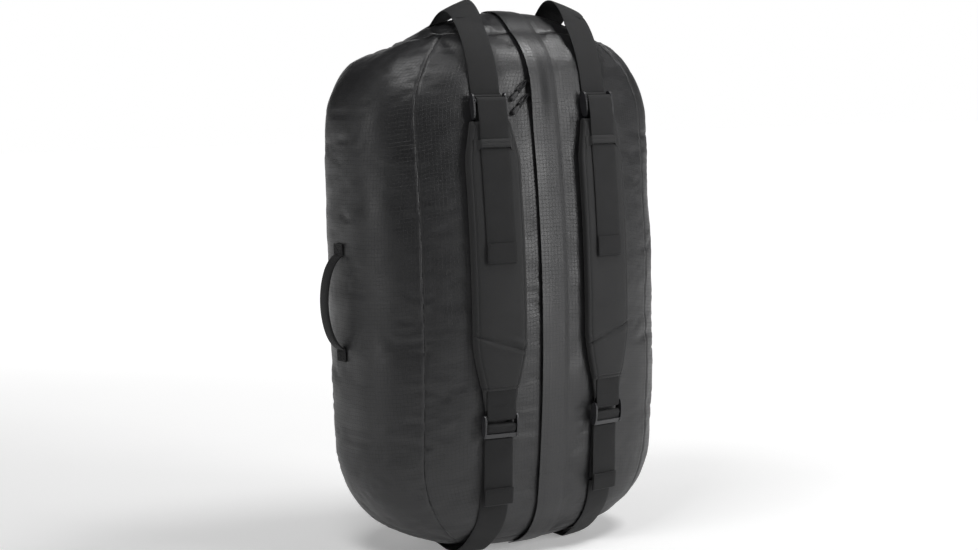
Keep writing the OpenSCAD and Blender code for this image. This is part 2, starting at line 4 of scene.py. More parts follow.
import bmesh
import bpy
import numpy as np
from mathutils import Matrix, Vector


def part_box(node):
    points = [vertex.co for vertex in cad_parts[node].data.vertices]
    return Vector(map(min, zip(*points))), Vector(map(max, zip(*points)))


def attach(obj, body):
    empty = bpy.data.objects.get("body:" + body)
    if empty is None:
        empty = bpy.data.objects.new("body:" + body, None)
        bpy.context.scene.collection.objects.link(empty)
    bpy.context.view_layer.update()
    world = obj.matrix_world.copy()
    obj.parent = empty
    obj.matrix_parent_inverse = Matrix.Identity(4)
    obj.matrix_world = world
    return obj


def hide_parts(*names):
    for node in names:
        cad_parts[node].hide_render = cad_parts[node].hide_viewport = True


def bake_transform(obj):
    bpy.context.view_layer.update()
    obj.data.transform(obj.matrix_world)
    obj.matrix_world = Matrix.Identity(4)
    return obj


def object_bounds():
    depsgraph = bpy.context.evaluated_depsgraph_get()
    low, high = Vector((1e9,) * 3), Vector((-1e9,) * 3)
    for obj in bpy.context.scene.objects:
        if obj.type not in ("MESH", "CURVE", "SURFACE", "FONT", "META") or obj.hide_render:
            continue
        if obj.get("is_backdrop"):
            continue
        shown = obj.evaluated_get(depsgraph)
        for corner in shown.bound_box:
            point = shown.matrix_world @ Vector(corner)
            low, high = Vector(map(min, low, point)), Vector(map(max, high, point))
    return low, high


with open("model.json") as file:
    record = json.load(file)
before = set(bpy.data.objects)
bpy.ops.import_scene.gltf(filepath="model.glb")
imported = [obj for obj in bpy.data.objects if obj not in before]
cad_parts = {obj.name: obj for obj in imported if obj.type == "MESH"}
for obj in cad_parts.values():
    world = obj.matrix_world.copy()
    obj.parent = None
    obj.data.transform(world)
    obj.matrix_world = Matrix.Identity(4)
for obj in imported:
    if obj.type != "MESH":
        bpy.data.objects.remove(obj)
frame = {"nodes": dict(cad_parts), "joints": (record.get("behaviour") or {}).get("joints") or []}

CAD_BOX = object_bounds()
MM = 0.001
JOINTS = {j["name"]: j for j in frame["joints"]}

# ---- Driving dimensions of the frame, in millimetres. Heights h are measured from the middle ----


def low(node, axis):
    """Lowest coordinate of a CAD node along an axis."""
    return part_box(node)[0][axis] / MM


def high(node, axis):
    """Highest coordinate of a CAD node along an axis."""
    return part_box(node)[1][axis] / MM


BODY_W = round(2 * high("side_panel_right", 0))
BODY_D = round(2 * high("back_panel", 1))
ZIP_X, BOW_Y, BASE_H = (round(v / MM) for v in JOINTS["lower_slider_travel"]["pos_m"])
BOW_R = BOW_Y + BODY_D / 2
STRAP_X = (low("keeper_right", 0) + high("keeper_right", 0)) / 2
WEB_W = high("upper_tail_right", 0) - low("upper_tail_right", 0)
PAD_HALF = (high("pad_cover_right", 0) - low("pad_cover_right", 0)) / 2
POLE_H, TOP_RISE, TOP_SLUMP = 360.0, 20.0, 22.0
SECTION_N, CROWN_P = 2.6, 2.35
SIDE_START, FRONT_START = 208.0, 275.0
END_SEAM = 338.0
CORNER_F = 45.0
SLIT_HALF, SLIT_END = 7.0, 296.0
WEB_T = 1.6
BAND_CLEAR = 0.9
HAUL_LIFT, BASE_LIFT = 24.0, 8.0
LOOP_PLACES, BASE_PLACES = (1.15, 1.55, 1.84), (-2.0, -1.65, -1.3)
SWING_BAR, WRAP_BAR = (254.0, 4.0), (248.0, 11.4)
TAB_BAR, LOCK_BAR = (-160.0, 7.5), (-172.0, 8.6)
PAD_TOP, PAD_BASE, PAD_OFF, PAD_T = 222.0, -122.0, 1.0, 11.0
KEEPER_H, TAIL_END_H = 194.0, 42.0
LOWER_END_H, RUN_BASE_H = -276.0, -262.0
FLAP_FREE_X, FLAP_SEWN_X = -20.0, 24.0
FLAP_LIFT_H, FLAP_ROOT_H = 150.0, 240.0
HANDLE_Y, HANDLE_W, HANDLE_OUT, HANDLE_T = 9.0, 25.0, 25.5, 3.0
HANDLE_TOP, HANDLE_BASE = 50.0, -73.0
SIDES = {"left": -1, "right": 1}

# ---- Shape of the stuffed bag, as in the frame ----


def step(value, start, end):
    """Smooth step from 0 at start to 1 at end."""
    t = np.clip((value - start) / (end - start), 0, 1)
    return t * t * (3 - 2 * t)


def crown(h, start):
    """Share of the full width or depth that is left at height h."""
    over = np.clip((np.abs(h) - start) / (POLE_H - start), 0, 1)
    return (1 - over**CROWN_P) ** (1 / CROWN_P)


def half_w(h):
    return np.maximum(BODY_W / 2 * crown(h, SIDE_START), 1e-6)


def half_d(h):
    return (np.sqrt(BOW_R**2 - np.square(h)) - BOW_Y) * crown(h, FRONT_START)


def z_at(h):
    rise = TOP_RISE * (1 - (half_w(h) / half_w(END_SEAM)) ** 2)
    return BASE_H + h + np.where(np.asarray(h) > END_SEAM, rise, 0)


def slump(y, h):
    """Fall of the stuffed top end towards the back."""
    return TOP_SLUMP * step(h, 300, 360) * step(y, -75, 35)


def front_y(x, h):
    share = np.minimum(np.abs(x) / half_w(h), 1)
    return -half_d(h) * (1 - share**SECTION_N) ** (1 / SECTION_N)


def h_of(alpha):
    """Height on a rounded end, for alpha from 0 at its start to 90 at the pole."""
    return SIDE_START + (POLE_H - SIDE_START) * np.sin(np.radians(alpha)) ** (2 / CROWN_P)


def on_front(x, h, off):
    """Points on the front at x and h, off millimetres out of the fabric."""
    x, h, off = np.broadcast_arrays(np.asarray(x, float), h, off)
    dy = front_y(x, h + 0.5) - front_y(x, h - 0.5)
    dz = z_at(h + 0.5) - z_at(h - 0.5)
    length = np.hypot(dy, dz)
    return np.stack([x, front_y(x, h) - off * dz / length, z_at(h) + off * dy / length], -1)


def loop_yz(x, s):
    """Loop round the bag at a fixed x: s is 0 at the front, 2 on top, 4 at the back and -2 below."""
    m = np.where(np.abs(s) > 2, 4 - np.abs(s), np.abs(s))
    top = np.degrees(np.arccos((np.abs(x) / (BODY_W / 2)) ** (CROWN_P / 2)))
    alpha = np.maximum(top * (1 - np.abs(2 - m) ** SECTION_N), 0)
    h = np.sign(s) * np.where(m <= 1, m * SIDE_START, h_of(alpha))
    y = np.where(np.abs(s) > 2, -1, 1) * front_y(x, h)
    return y, z_at(h) - slump(y, h)


def on_loop(x, s, off):
    x, s, off = np.broadcast_arrays(np.asarray(x, float), s, off)
    y1, z1 = loop_yz(x, s - 0.01)
    y2, z2 = loop_yz(x, s + 0.01)
    y, z = loop_yz(x, s)
    length = np.hypot(y2 - y1, z2 - z1)
    return np.stack([x, y - off * (z2 - z1) / length, z + off * (y2 - y1) / length], -1)


def loop_s(x, h):
    """Place on the loop of a point of the front at height h."""
    if abs(h) <= SIDE_START:
        return h / SIDE_START
    share = ((abs(h) - SIDE_START) / (POLE_H - SIDE_START)) ** (CROWN_P / 2)
    top = math.acos((abs(x) / (BODY_W / 2)) ** (CROWN_P / 2))
    return math.copysign(2 - (1 - math.asin(share) / top) ** (1 / SECTION_N), h)


def side_x(y, h):
    return half_w(h) * (1 - (np.abs(y) / half_d(h)) ** SECTION_N) ** (1 / SECTION_N)


# ---- Noise ----

RNG = np.random.default_rng(7)
ORDER = RNG.permutation(256)
DIRECTIONS = RNG.normal(size=(256, 3))
DIRECTIONS /= np.linalg.norm(DIRECTIONS, axis=1, keepdims=True)


def noise(points, scale, seed=0):
    """Gradient noise from about -1 to 1. Scale is the size of its lumps in millimetres, for each axis."""
    p = np.asarray(points, float) / scale + seed * 17.3
    cell = np.floor(p).astype(int)
    f = p - cell
    fade = f * f * f * (f * (f * 6 - 15) + 10)
    total = 0
    for corner in np.ndindex(2, 2, 2):
        c = (cell + corner) & 255
        index = ORDER[(ORDER[(ORDER[c[..., 0]] + c[..., 1]) & 255] + c[..., 2]) & 255]
        weight = np.prod(np.where(corner, fade, 1 - fade), axis=-1)
        total = total + weight * ((f - corner) * DIRECTIONS[index]).sum(-1)
    return 1.6 * total


def bell(distance, width):
    return np.exp(-np.square(distance / width))


# ---- Meshes ----


def make(name, points, faces, uv=None, sharp=38):
    """Mesh object from points in millimetres. uv gives each point's place on the cloth, in metres."""
    mesh = bpy.data.meshes.new(name)
    mesh.from_pydata(np.asarray(points) * MM, [], faces)
    if uv is not None:
        layer = mesh.uv_layers.new(name="cloth")
        index = np.empty(len(mesh.loops), int)
        mesh.loops.foreach_get("vertex_index", index)
        layer.data.foreach_set("uv", np.asarray(uv, np.float32)[index].ravel())
    mesh.shade_smooth()
    mesh.set_sharp_from_angle(angle=math.radians(sharp))
    piece = bpy.data.objects.new(name, mesh)
    bpy.context.scene.collection.objects.link(piece)
    return piece


def grid_faces(rows, cols, start=0, flip=False):
    quads = []
    for i in range(rows - 1):
        for j in range(cols - 1):
            a = start + i * cols + j
            quad = (a, a + 1, a + cols + 1, a + cols)
            quads.append(quad[::-1] if flip else quad)
    return quads


def travelled(grid, axis):
    """Length covered along the rows or the columns of a grid of points."""
    steps = np.linalg.norm(np.diff(grid, axis=axis), axis=-1)
    zero = np.zeros_like(np.take(steps, [0], axis=axis))
    return np.cumsum(np.concatenate([zero, steps], axis=axis), axis=axis)


def cloth_uv(grid):
    return np.stack([travelled(grid, 1), travelled(grid, 0)], -1).reshape(-1, 2) * MM


def slab(name, inner, outer, sharp=38):
    """Closed solid between an inner and an outer grid of points."""
    rows, cols = inner.shape[:2]
    n = rows * cols
    rim = [j for j in range(cols)]
    rim += [i * cols + cols - 1 for i in range(1, rows)]
    rim += [(rows - 1) * cols + j for j in range(cols - 2, -1, -1)]
    rim += [i * cols for i in range(rows - 2, 0, -1)]
    faces = grid_faces(rows, cols) + grid_faces(rows, cols, n, flip=True)
    faces += [(b, a, n + a, n + b) for a, b in zip(rim, rim[1:] + rim[:1])]
    uv = cloth_uv(outer)
    points = np.concatenate([outer.reshape(-1, 3), inner.reshape(-1, 3)])
    return make(name, points, faces, np.concatenate([uv, uv]), sharp)


def tube(name, path, radius, sides=10):
    """Round cord along a path, with closed ends. radius is a number or one for each point."""
    path = np.asarray(path, float)
    along = np.gradient(path, axis=0)
    along /= np.linalg.norm(along, axis=1, keepdims=True)
    radius = np.broadcast_to(radius, len(path))
    across = np.cross(along[0], [0.3, 0.2, 0.9])
    rings = []
    for p, t, r in zip(path, along, radius):
        across = across - t * (across @ t)
        across /= np.linalg.norm(across)
        other = np.cross(t, across)
        turn = np.arange(sides) * 2 * math.pi / sides
        rings.append(p + r * (np.outer(np.cos(turn), across) + np.outer(np.sin(turn), other)))
    grid = np.stack(rings)
    rows = len(path)
    faces = []
    for i in range(rows - 1):
        for j in range(sides):
            a, b = i * sides + j, i * sides + (j + 1) % sides
            faces.append((a, b, b + sides, a + sides))
    faces += [tuple(range(sides))[::-1], tuple((rows - 1) * sides + j for j in range(sides))]
    around = np.tile(np.arange(sides) / sides * 0.006, rows)
    uv = np.stack([around, np.repeat(travelled(path[:, None], 0)[:, 0] * MM, sides)], -1)
    return make(name, grid.reshape(-1, 3), faces, uv, sharp=60)


def smooth_path(points, spacing):
    """Even points along a Catmull-Rom curve through a few given ones."""
    p = np.asarray(points, float)
    p = np.concatenate([[2 * p[0] - p[1]], p, [2 * p[-1] - p[-2]]])
    t = np.linspace(0, 1, 13)[:-1, None]
    parts = [
        0.5 * (2 * b + (c - a) * t + (2 * a - 5 * b + 4 * c - d) * t**2 + (3 * b - a - 3 * c + d) * t**3)
        for a, b, c, d in zip(p, p[1:], p[2:], p[3:])
    ]
    dense = np.concatenate(parts + [p[-2:-1]])
    length = travelled(dense[:, None], 0)[:, 0]
    even = np.linspace(0, length[-1], max(3, round(length[-1] / spacing)))
    return np.stack([np.interp(even, length, dense[:, k]) for k in range(p.shape[1])], -1)


# ---- Procedural materials ----


class Paint:
    """A principled material, with small helpers to wire its textures."""

    def __init__(self, name, colour, roughness, **sockets):
        self.material = bpy.data.materials.new(name)
        self.material.use_nodes = True
        self.tree = self.material.node_tree
        self.shader = self.tree.nodes["Principled BSDF"]
        self.colour = colour
        self.roughness = roughness
        self.set("Base Color", (*colour, 1))
        self.set("Roughness", roughness)
        for socket, value in sockets.items():
            self.set(socket.replace("_", " "), value)

    def set(self, socket, value):
        self.shader.inputs[socket].default_value = value

    def node(self, kind, **values):
        made = self.tree.nodes.new("ShaderNode" + kind)
        for key, value in values.items():
            if hasattr(made, key):
                setattr(made, key, value)
            else:
                made.inputs[key.replace("_", " ")].default_value = value
        return made

    def link(self, source, target):
        self.tree.links.new(source, target)
        return target.node

    def place(self, kind, scale):
        """Coordinates in units of scale metres: cloth is the mesh's own layer, object is the frame."""
        if kind == "cloth":
            source = self.node("UVMap", uv_map="cloth").outputs[0]
        else:
            source = self.node("TexCoord").outputs["Object"]
        mapping = self.node("Mapping")
        mapping.inputs["Scale"].default_value = [1 / s for s in scale]
        self.link(source, mapping.inputs["Vector"])
        return mapping.outputs[0]

    def noise(self, scale, detail=2.0, kind="object"):
        made = self.node("TexNoise", Scale=1.0, Detail=detail)
        self.link(self.place(kind, scale), made.inputs["Vector"])
        return made.outputs[0]

    def span(self, value, low_value, high_value, start=0.3, end=0.7):
        made = self.node("MapRange", From_Min=start, From_Max=end, To_Min=low_value, To_Max=high_value)
        self.link(value, made.inputs["Value"])
        return made.outputs[0]

    def math(self, operation, a, b):
        made = self.node("Math", operation=operation)
        for value, socket in ((a, made.inputs[0]), (b, made.inputs[1])):
            if isinstance(value, (int, float)):
                socket.default_value = value
            else:
                self.link(value, socket)
        return made.outputs[0]

    def shade(self, amount):
        """Multiplies the base colour by a texture's value."""
        mix = self.node("Mix", data_type="RGBA", blend_type="MULTIPLY")
        mix.inputs["Factor"].default_value = 1
        socket = [s for s in mix.inputs if s.name in ("A", "B") and s.type == "RGBA"]
        socket[0].default_value = (*self.colour, 1)
        self.link(amount, socket[1])
        result = [s for s in mix.outputs if s.type == "RGBA"][0]
        self.link(result, self.shader.inputs["Base Color"])

    def gloss(self, value):
        self.link(value, self.shader.inputs["Roughness"])

    def bump(self, height, distance, strength=1.0):
        made = self.node("Bump", Strength=strength, Distance=distance)
        self.link(height, made.inputs["Height"])
        self.link(made.outputs[0], self.shader.inputs["Normal"])


def cloth_shell():
    """Coated ripstop: a fine square grid of thicker threads in a satin film with soft blotches."""
    p = Paint("shell_fabric", (0.0135, 0.0135, 0.0145), 0.42, Specular_IOR_Level=0.55)
    thread = p.node("TexBrick", offset=0.0, squash=1.0, Scale=1.0, Mortar_Size=0.07, Mortar_Smooth=0.6)
    thread.inputs["Brick Width"].default_value = 1.0
    thread.inputs["Row Height"].default_value = 1.0
    p.link(p.place("cloth", (0.0052, 0.0052, 1)), thread.inputs["Vector"])
    line = thread.outputs["Fac"]
    blotch = p.noise((0.07, 0.07, 0.05), 4.0)
    weave = p.noise((0.0006, 0.0006, 0.0006), 1.0)
    grain = p.noise((0.0028, 0.0028, 0.0028), 2.0)
    tone = p.math("MULTIPLY", p.span(blotch, 0.84, 1.16), p.span(line, 1.0, 0.62, 0.0, 1.0))
    p.shade(p.math("MULTIPLY", tone, p.span(grain, 0.9, 1.1)))
    p.gloss(p.math("ADD", p.span(blotch, 0.36, 0.52), p.span(line, 0.0, 0.1, 0.0, 1.0)))
    relief = p.math("ADD", p.span(line, 0.0, 0.7, 0.0, 1.0), p.span(weave, 0.0, 0.25))
    p.bump(p.math("ADD", relief, p.span(grain, 0.0, 0.5)), 0.00016, 0.7)
    return p.material


def cloth_webbing():
    """Matt twill webbing, with fine ribs along it and a diagonal twill."""
    p = Paint("webbing", (0.0115, 0.0115, 0.012), 0.8, Specular_IOR_Level=0.3, Sheen_Weight=0.05)
    rib = p.node("TexWave", wave_type="BANDS", bands_direction="X", Scale=0.22, Distortion=0.0)
    p.link(p.place("cloth", (MM, MM, MM)), rib.inputs["Vector"])
    twill = p.node("TexWave", wave_type="BANDS", bands_direction="DIAGONAL", Scale=0.38, Distortion=0.6)
    p.link(p.place("cloth", (MM, MM, MM)), twill.inputs["Vector"])
    fuzz = p.noise((0.0008, 0.0008, 0.0008), 3.0)
    patch = p.noise((0.03, 0.03, 0.03), 3.0)
    threads = p.math("ADD", p.math("MULTIPLY", rib.outputs["Fac"], 0.5),
                     p.math("MULTIPLY", twill.outputs["Fac"], 0.5))
    tone = p.math("MULTIPLY", p.span(threads, 0.72, 1.2, 0.0, 1.0), p.span(patch, 0.9, 1.12))
    p.shade(p.math("MULTIPLY", tone, p.span(fuzz, 0.85, 1.15)))
    p.gloss(p.span(threads, 0.86, 0.7, 0.0, 1.0))
    p.bump(p.math("ADD", threads, p.span(fuzz, 0.0, 0.4)), 0.00022, 0.8)
    return p.material


def cloth_pad():
    """Smooth stretch knit with a faint vertical wale."""
    p = Paint("pad_cover", (0.0135, 0.0135, 0.014), 0.72, Specular_IOR_Level=0.35, Sheen_Weight=0.06)
    wale = p.node("TexWave", wave_type="BANDS", bands_direction="X", Scale=0.42, Distortion=0.3)
    p.link(p.place("cloth", (MM, MM, MM)), wale.inputs["Vector"])
    fuzz = p.noise((0.0007, 0.0007, 0.0007), 3.0)
    patch = p.noise((0.04, 0.04, 0.06), 3.0)
    p.shade(p.math("MULTIPLY", p.span(patch, 0.88, 1.14), p.span(fuzz, 0.85, 1.15)))
    p.gloss(p.span(patch, 0.64, 0.76))
    p.bump(p.math("ADD", wale.outputs["Fac"], p.span(fuzz, 0.0, 0.8)), 0.00008, 0.7)
    return p.material


def cloth_mesh():
    """Spacer mesh with round holes, painted darker inside as painted shade."""
    p = Paint("air_mesh", (0.012, 0.012, 0.013), 0.85, Specular_IOR_Level=0.3)
    cells = p.node("TexVoronoi", feature="F1", Scale=1.0, Randomness=0.15)
    p.link(p.place("cloth", (0.0026, 0.0026, 1)), cells.inputs["Vector"])
    # Painted shade: the holes are painted darker, standing in for the shade inside them; the same mask sinks them
    # in the bump.
    hole = p.span(cells.outputs["Distance"], 0.25, 1.15, 0.18, 0.42)
    p.shade(p.math("MULTIPLY", hole, p.span(p.noise((0.02, 0.02, 0.02)), 0.85, 1.15)))
    p.bump(hole, 0.0006, 0.9)
    return p.material


def hard_plastic(name, colour, roughness):
    """Moulded plastic: a fine spark texture and a slow change of gloss."""
    p = Paint(name, colour, roughness, Specular_IOR_Level=0.5)
    patch = p.noise((0.012, 0.012, 0.012), 3.0)
    spark = p.noise((0.0005, 0.0005, 0.0005), 1.0)
    p.shade(p.span(patch, 0.85, 1.2))
    p.gloss(p.span(patch, roughness - 0.07, roughness + 0.09))
    p.bump(spark, 0.00004, 0.5)
    return p.material


def zip_plastic():
    """Coil of the zip: round turns every 1.6 mm, with painted shade between the turns and a painted highlight on
    their crests.
    """
    p = Paint("zip_coil", (0.02, 0.02, 0.021), 0.4)
    turns = p.node("TexWave", wave_type="BANDS", bands_direction="Z", Scale=0.2, Distortion=0.0)
    p.link(p.place("object", (MM, MM, MM)), turns.inputs["Vector"])
    # Painted shade and highlight: the colour darkens between the turns and lightens on their crests.
    tone = p.span(turns.outputs["Fac"], 0.35, 1.25, 0.0, 1.0)
    p.shade(p.math("MULTIPLY", tone, p.span(p.noise((0.01,) * 3), 0.9, 1.1)))
    p.bump(turns.outputs["Fac"], 0.0007, 1.0)
    return p.material


def painted_metal():
    """Black enamel on a zinc slider, thinner at the rubbed spots."""
    p = Paint("slider_metal", (0.03, 0.03, 0.031), 0.36, Metallic=0.35)
    patch = p.noise((0.003, 0.003, 0.003), 4.0)
    p.shade(p.span(patch, 0.75, 1.6, 0.35, 0.75))
    p.gloss(p.span(patch, 0.3, 0.48))
    p.bump(p.noise((0.0008,) * 3, 2.0), 0.00006, 0.5)
    return p.material


def cloth_tape():
    """Woven zip tape with a fine herringbone."""
    p = Paint("zip_tape", (0.01, 0.01, 0.011), 0.82, Specular_IOR_Level=0.3)
    twill = p.node("TexWave", wave_type="BANDS", bands_direction="DIAGONAL", Scale=0.5, Distortion=0.8)
    p.link(p.place("object", (MM, MM, MM)), twill.inputs["Vector"])
    tone = p.span(twill.outputs["Fac"], 0.75, 1.15, 0.0, 1.0)
    p.shade(p.math("MULTIPLY", tone, p.span(p.noise((0.01,) * 3), 0.85, 1.15)))
    p.bump(twill.outputs["Fac"], 0.00015, 0.8)
    return p.material


def cloth_cord():
    """Braided cord: crossing diagonals."""
    p = Paint("cord", (0.011, 0.011, 0.012), 0.66, Specular_IOR_Level=0.35)
    braid = p.node("TexWave", wave_type="BANDS", bands_direction="DIAGONAL", Scale=0.5, Distortion=1.5)
    p.link(p.place("cloth", (MM, MM, MM)), braid.inputs["Vector"])
    tone = p.span(braid.outputs["Fac"], 0.6, 1.3, 0.0, 1.0)
    p.shade(p.math("MULTIPLY", tone, p.span(p.noise((0.004,) * 3), 0.85, 1.2)))
    p.bump(braid.outputs["Fac"], 0.0003, 0.9)
    return p.material


FINISH = {
    "shell_fabric": cloth_shell(),
    "webbing": cloth_webbing(),
    "pad_cover": cloth_pad(),
    "air_mesh": cloth_mesh(),
    "buckle": hard_plastic("buckle", (0.02, 0.02, 0.022), 0.34),
    "pull_rubber": hard_plastic("pull_rubber", (0.017, 0.017, 0.018), 0.6),
    "zip_coil": zip_plastic(),
    "zip_tape": cloth_tape(),
    "slider_metal": painted_metal(),
    "cord": cloth_cord(),
}


def settle(piece, slot, body=None, replaces=()):
    """Gives a piece its finish, the body it moves with and the CAD nodes it stands for."""
    piece.data.materials.clear()
    piece.data.materials.append(FINISH[slot])
    if replaces:
        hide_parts(*replaces)
    if body:
        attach(piece, body)
    return piece


# ---- Shell: one displaced surface, cut into its seven sewn panels ----


def stations(length, pitch):
    """Shares of a span at an even pitch, with closer ones beside the seams at its ends."""
    close = np.array([0, 1.1, 2.4, 4.0, 6.2])
    middle = np.linspace(9.5, length - 9.5, max(2, round((length - 19) / pitch)))
    return np.concatenate([close, middle, length - close[::-1]]) / length


def section(h, f):
    """Points of the level section at height h, at the angles f in degrees."""
    c, s = np.cos(np.radians(f)), np.sin(np.radians(f))
    x = half_w(h) * np.sign(c) * np.abs(c) ** (2 / SECTION_N)
    y = half_d(h) * np.sign(s) * np.abs(s) ** (2 / SECTION_N)
    return np.stack([x, y, np.maximum(z_at(h) - slump(y, h), 0)], -1)


def angle_at(x, a):
    share = np.minimum(np.abs(x) / a, 1) ** (SECTION_N / 2)
    turned = np.degrees(np.arccos(share))
    return np.where(x < 0, turned - 180, -turned)


def even_shares(f1, f2, pitch):
    """Shares of a span of the section whose points lie evenly along the cloth at mid height."""
    f = np.linspace(f1, f2, 400)
    length = travelled(section(0.0, f)[None], 1)[0]
    return np.interp(stations(length[-1], pitch) * length[-1], length, np.linspace(0, 1, 400))


PITCH = 4.6
SLIT = [ZIP_X - SLIT_HALF, ZIP_X + SLIT_HALF]
mid_angles = [-180 + CORNER_F, *angle_at(np.array(SLIT), BODY_W / 2), -CORNER_F, CORNER_F]
mid_angles += [180 - CORNER_F, 180 + CORNER_F]
SHARES = [even_shares(a, b, PITCH) for a, b in zip(mid_angles, mid_angles[1:])]
SHARES[1] = np.linspace(0, 1, 5)
COLUMN = np.cumsum([0] + [len(s) - 1 for s in SHARES])


def ring_angles(h):
    squeeze = np.minimum(1, half_w(h) / half_w(END_SEAM))
    anchors = list(mid_angles)
    anchors[1:3] = angle_at(np.array(SLIT) * squeeze, half_w(h))
    parts = [a + (b - a) * s[:-1] for a, b, s in zip(anchors, anchors[1:], SHARES)]
    return np.concatenate(parts + [[anchors[-1]]])


def height_rows():
    """Heights of the rows from the base pole to the top pole, and the rows of the two end seams."""
    seam = math.degrees(math.asin(((END_SEAM - SIDE_START) / (POLE_H - SIDE_START)) ** (CROWN_P / 2)))
    side = h_of(seam * np.linspace(0, 1, 34)[1:-1])
    near = END_SEAM + np.array([-4.5, -2.6, -1.2, 0, 0.7, 1.4, 2.3])
    dome = h_of(seam + (89.6 - seam) * np.linspace(0, 1, 34)[3:])
    half = np.concatenate([side[side < END_SEAM - 7], near, dome[dome > END_SEAM + 3.4]])
    straight = np.linspace(-SIDE_START, SIDE_START, round(2 * SIDE_START / PITCH))
    top_row = int(np.argmin(np.abs(half - END_SEAM)))
    count = len(half)
    return np.concatenate([-half[::-1], straight, half]), count - 1 - top_row, count + len(straight) + top_row


HEIGHTS, LOW_ROW, TOP_ROW = height_rows()
BASE = np.stack([section(h, ring_angles(h)) for h in HEIGHTS])


def grid_normals(grid):
    across = np.empty_like(grid)
    across[:, 1:-1] = grid[:, 2:] - grid[:, :-2]
    across[:, 0] = across[:, -1] = grid[:, 1] - grid[:, -2]
    up = np.gradient(grid, axis=0)
    normal = np.cross(across, up)
    length = np.linalg.norm(normal, axis=-1, keepdims=True)
    return normal / np.maximum(length, 1e-9)


def seam_relief(distance, along, seed):
    """Pulled-in stitch line with a rolled edge on each side and puckers that die away from it."""
    run = np.stack([along, distance * 0.25, np.zeros_like(along)], -1)
    groove = -1.1 * bell(distance, 2.0) + 0.3 * bell(distance - 5.0, 2.6)
    return groove + 1.2 * noise(run, 13.0, seed) * np.exp(-distance / 15) * step(distance, 0, 3)


def contact_mask(grid):
    """1 where webbing, a pad, the storm flap or a handle foot lies on the shell."""
    x, y, z = np.moveaxis(grid, -1, 0)
    beside = np.abs(np.abs(x) - STRAP_X)
    front = y < 0
    padded = front & (z > BASE_H + PAD_BASE - 15) & (z < BASE_H + PAD_TOP + 8)
    band = 1 - step(beside, WEB_W / 2 + 1, WEB_W / 2 + 7)
    pad = np.where(padded, 1 - step(beside, PAD_HALF + 1, PAD_HALF + 8), 0)
    beside = 1 - step(x, FLAP_SEWN_X + 1, FLAP_SEWN_X + 7)
    flap = np.where(front, step(x, FLAP_FREE_X - 8, FLAP_FREE_X - 2) * beside, 0)
    near = 1 - step(np.abs(y - HANDLE_Y), HANDLE_W / 2 + 1, HANDLE_W / 2 + 6)
    foot = np.where(np.abs(x) > BODY_W / 3, near, 0)
    foot = foot * step(z, BASE_H + HANDLE_BASE - 28, BASE_H + HANDLE_BASE - 20)
    foot = foot * (1 - step(z, BASE_H + HANDLE_TOP + 20, BASE_H + HANDLE_TOP + 28))
    return np.max(np.stack([band, pad, flap, foot]), axis=0)


def shell_relief(grid):
    """How far the cloth stands out of the smooth form: dents, creases, seams and corner wrinkles."""
    z = grid[..., 2]
    around, up = travelled(grid, 1), travelled(grid, 0)
    walls = np.zeros(grid.shape[:2])
    walls[LOW_ROW : TOP_ROW + 1] = 1
    total = around[:, -1:]
    relief = np.zeros(grid.shape[:2])
    # Slow dents and long level creases, in patches
    relief += 3.2 * np.minimum(noise(grid, (95, 120, 80), 1), 0.15)
    relief += 1.2 * noise(grid, (80, 90, 34), 2)
    patch = step(noise(grid, 120, 3), -0.25, 0.3)
    crease = noise(grid, (85, 95, 15), 4)
    relief -= 1.5 * patch * np.clip(1 - np.abs(crease) / 0.16, 0, 1) ** 1.3
    relief += 0.35 * noise(grid, (40, 40, 9), 5)
    fine = noise(grid, (26, 30, 12), 6)
    relief -= 0.8 * step(noise(grid, 90, 8), 0.0, 0.4) * np.clip(1 - np.abs(fine) / 0.2, 0, 1)
    # Seams down the four corners and round the two ends
    for k, index in enumerate((COLUMN[0], COLUMN[3], COLUMN[4], COLUMN[5])):
        distance = np.abs(around - around[:, index : index + 1])
        distance = np.minimum(distance, total - distance)
        relief += walls * seam_relief(distance, z, 10 + k)
    for k, row in enumerate((LOW_ROW, TOP_ROW)):
        distance = np.abs(up - up[row : row + 1])
        relief += seam_relief(distance, around, 20 + k)
    # Wrinkles that spread from where three seams meet
    for row, size in ((TOP_ROW, 4.6), (LOW_ROW, 1.8)):
        for k, index in enumerate((COLUMN[0], COLUMN[3], COLUMN[4], COLUMN[5])):
            corner = grid[row, index]
            away = np.linalg.norm(grid - corner, axis=-1)
            bearing = np.arctan2(z - corner[2], np.hypot(grid[..., 0] - corner[0], grid[..., 1] - corner[1])
                                 * np.sign(around - around[:, index : index + 1] + 1e-9))
            wave = np.sin(bearing * 11 + 2.5 * noise(grid, 45, 30 + k))
            relief += size * wave * np.exp(-away / 48) * step(away, 4, 22)
    covered = contact_mask(grid)
    relief = relief * (1 - covered) + np.minimum(relief * 0.5, 0) * covered
    # The flattened base stays on the floor
    return relief * step(z, 1.5, 22)


def displaced_shell():
    normal = grid_normals(BASE)
    grid = BASE + normal * shell_relief(BASE)[..., None]
    grid[..., 2] = np.maximum(grid[..., 2], 0)
    grid[:, -1] = grid[:, 0]
    return grid


SHELL = displaced_shell()


def thicken(piece, thickness):
    made = piece.modifiers.new("thickness", "SOLIDIFY")
    made.thickness = thickness * MM
    made.offset = -1
    made.use_even_offset = False


def wall_panel(name, first, last):
    """Panel of the wall between two columns of the shell."""
    grid = SHELL[LOW_ROW : TOP_ROW + 1, first : last + 1]
    piece = make(name, grid.reshape(-1, 3), grid_faces(*grid.shape[:2]), cloth_uv(grid), sharp=75)
    thicken(piece, 2.2)
    return piece


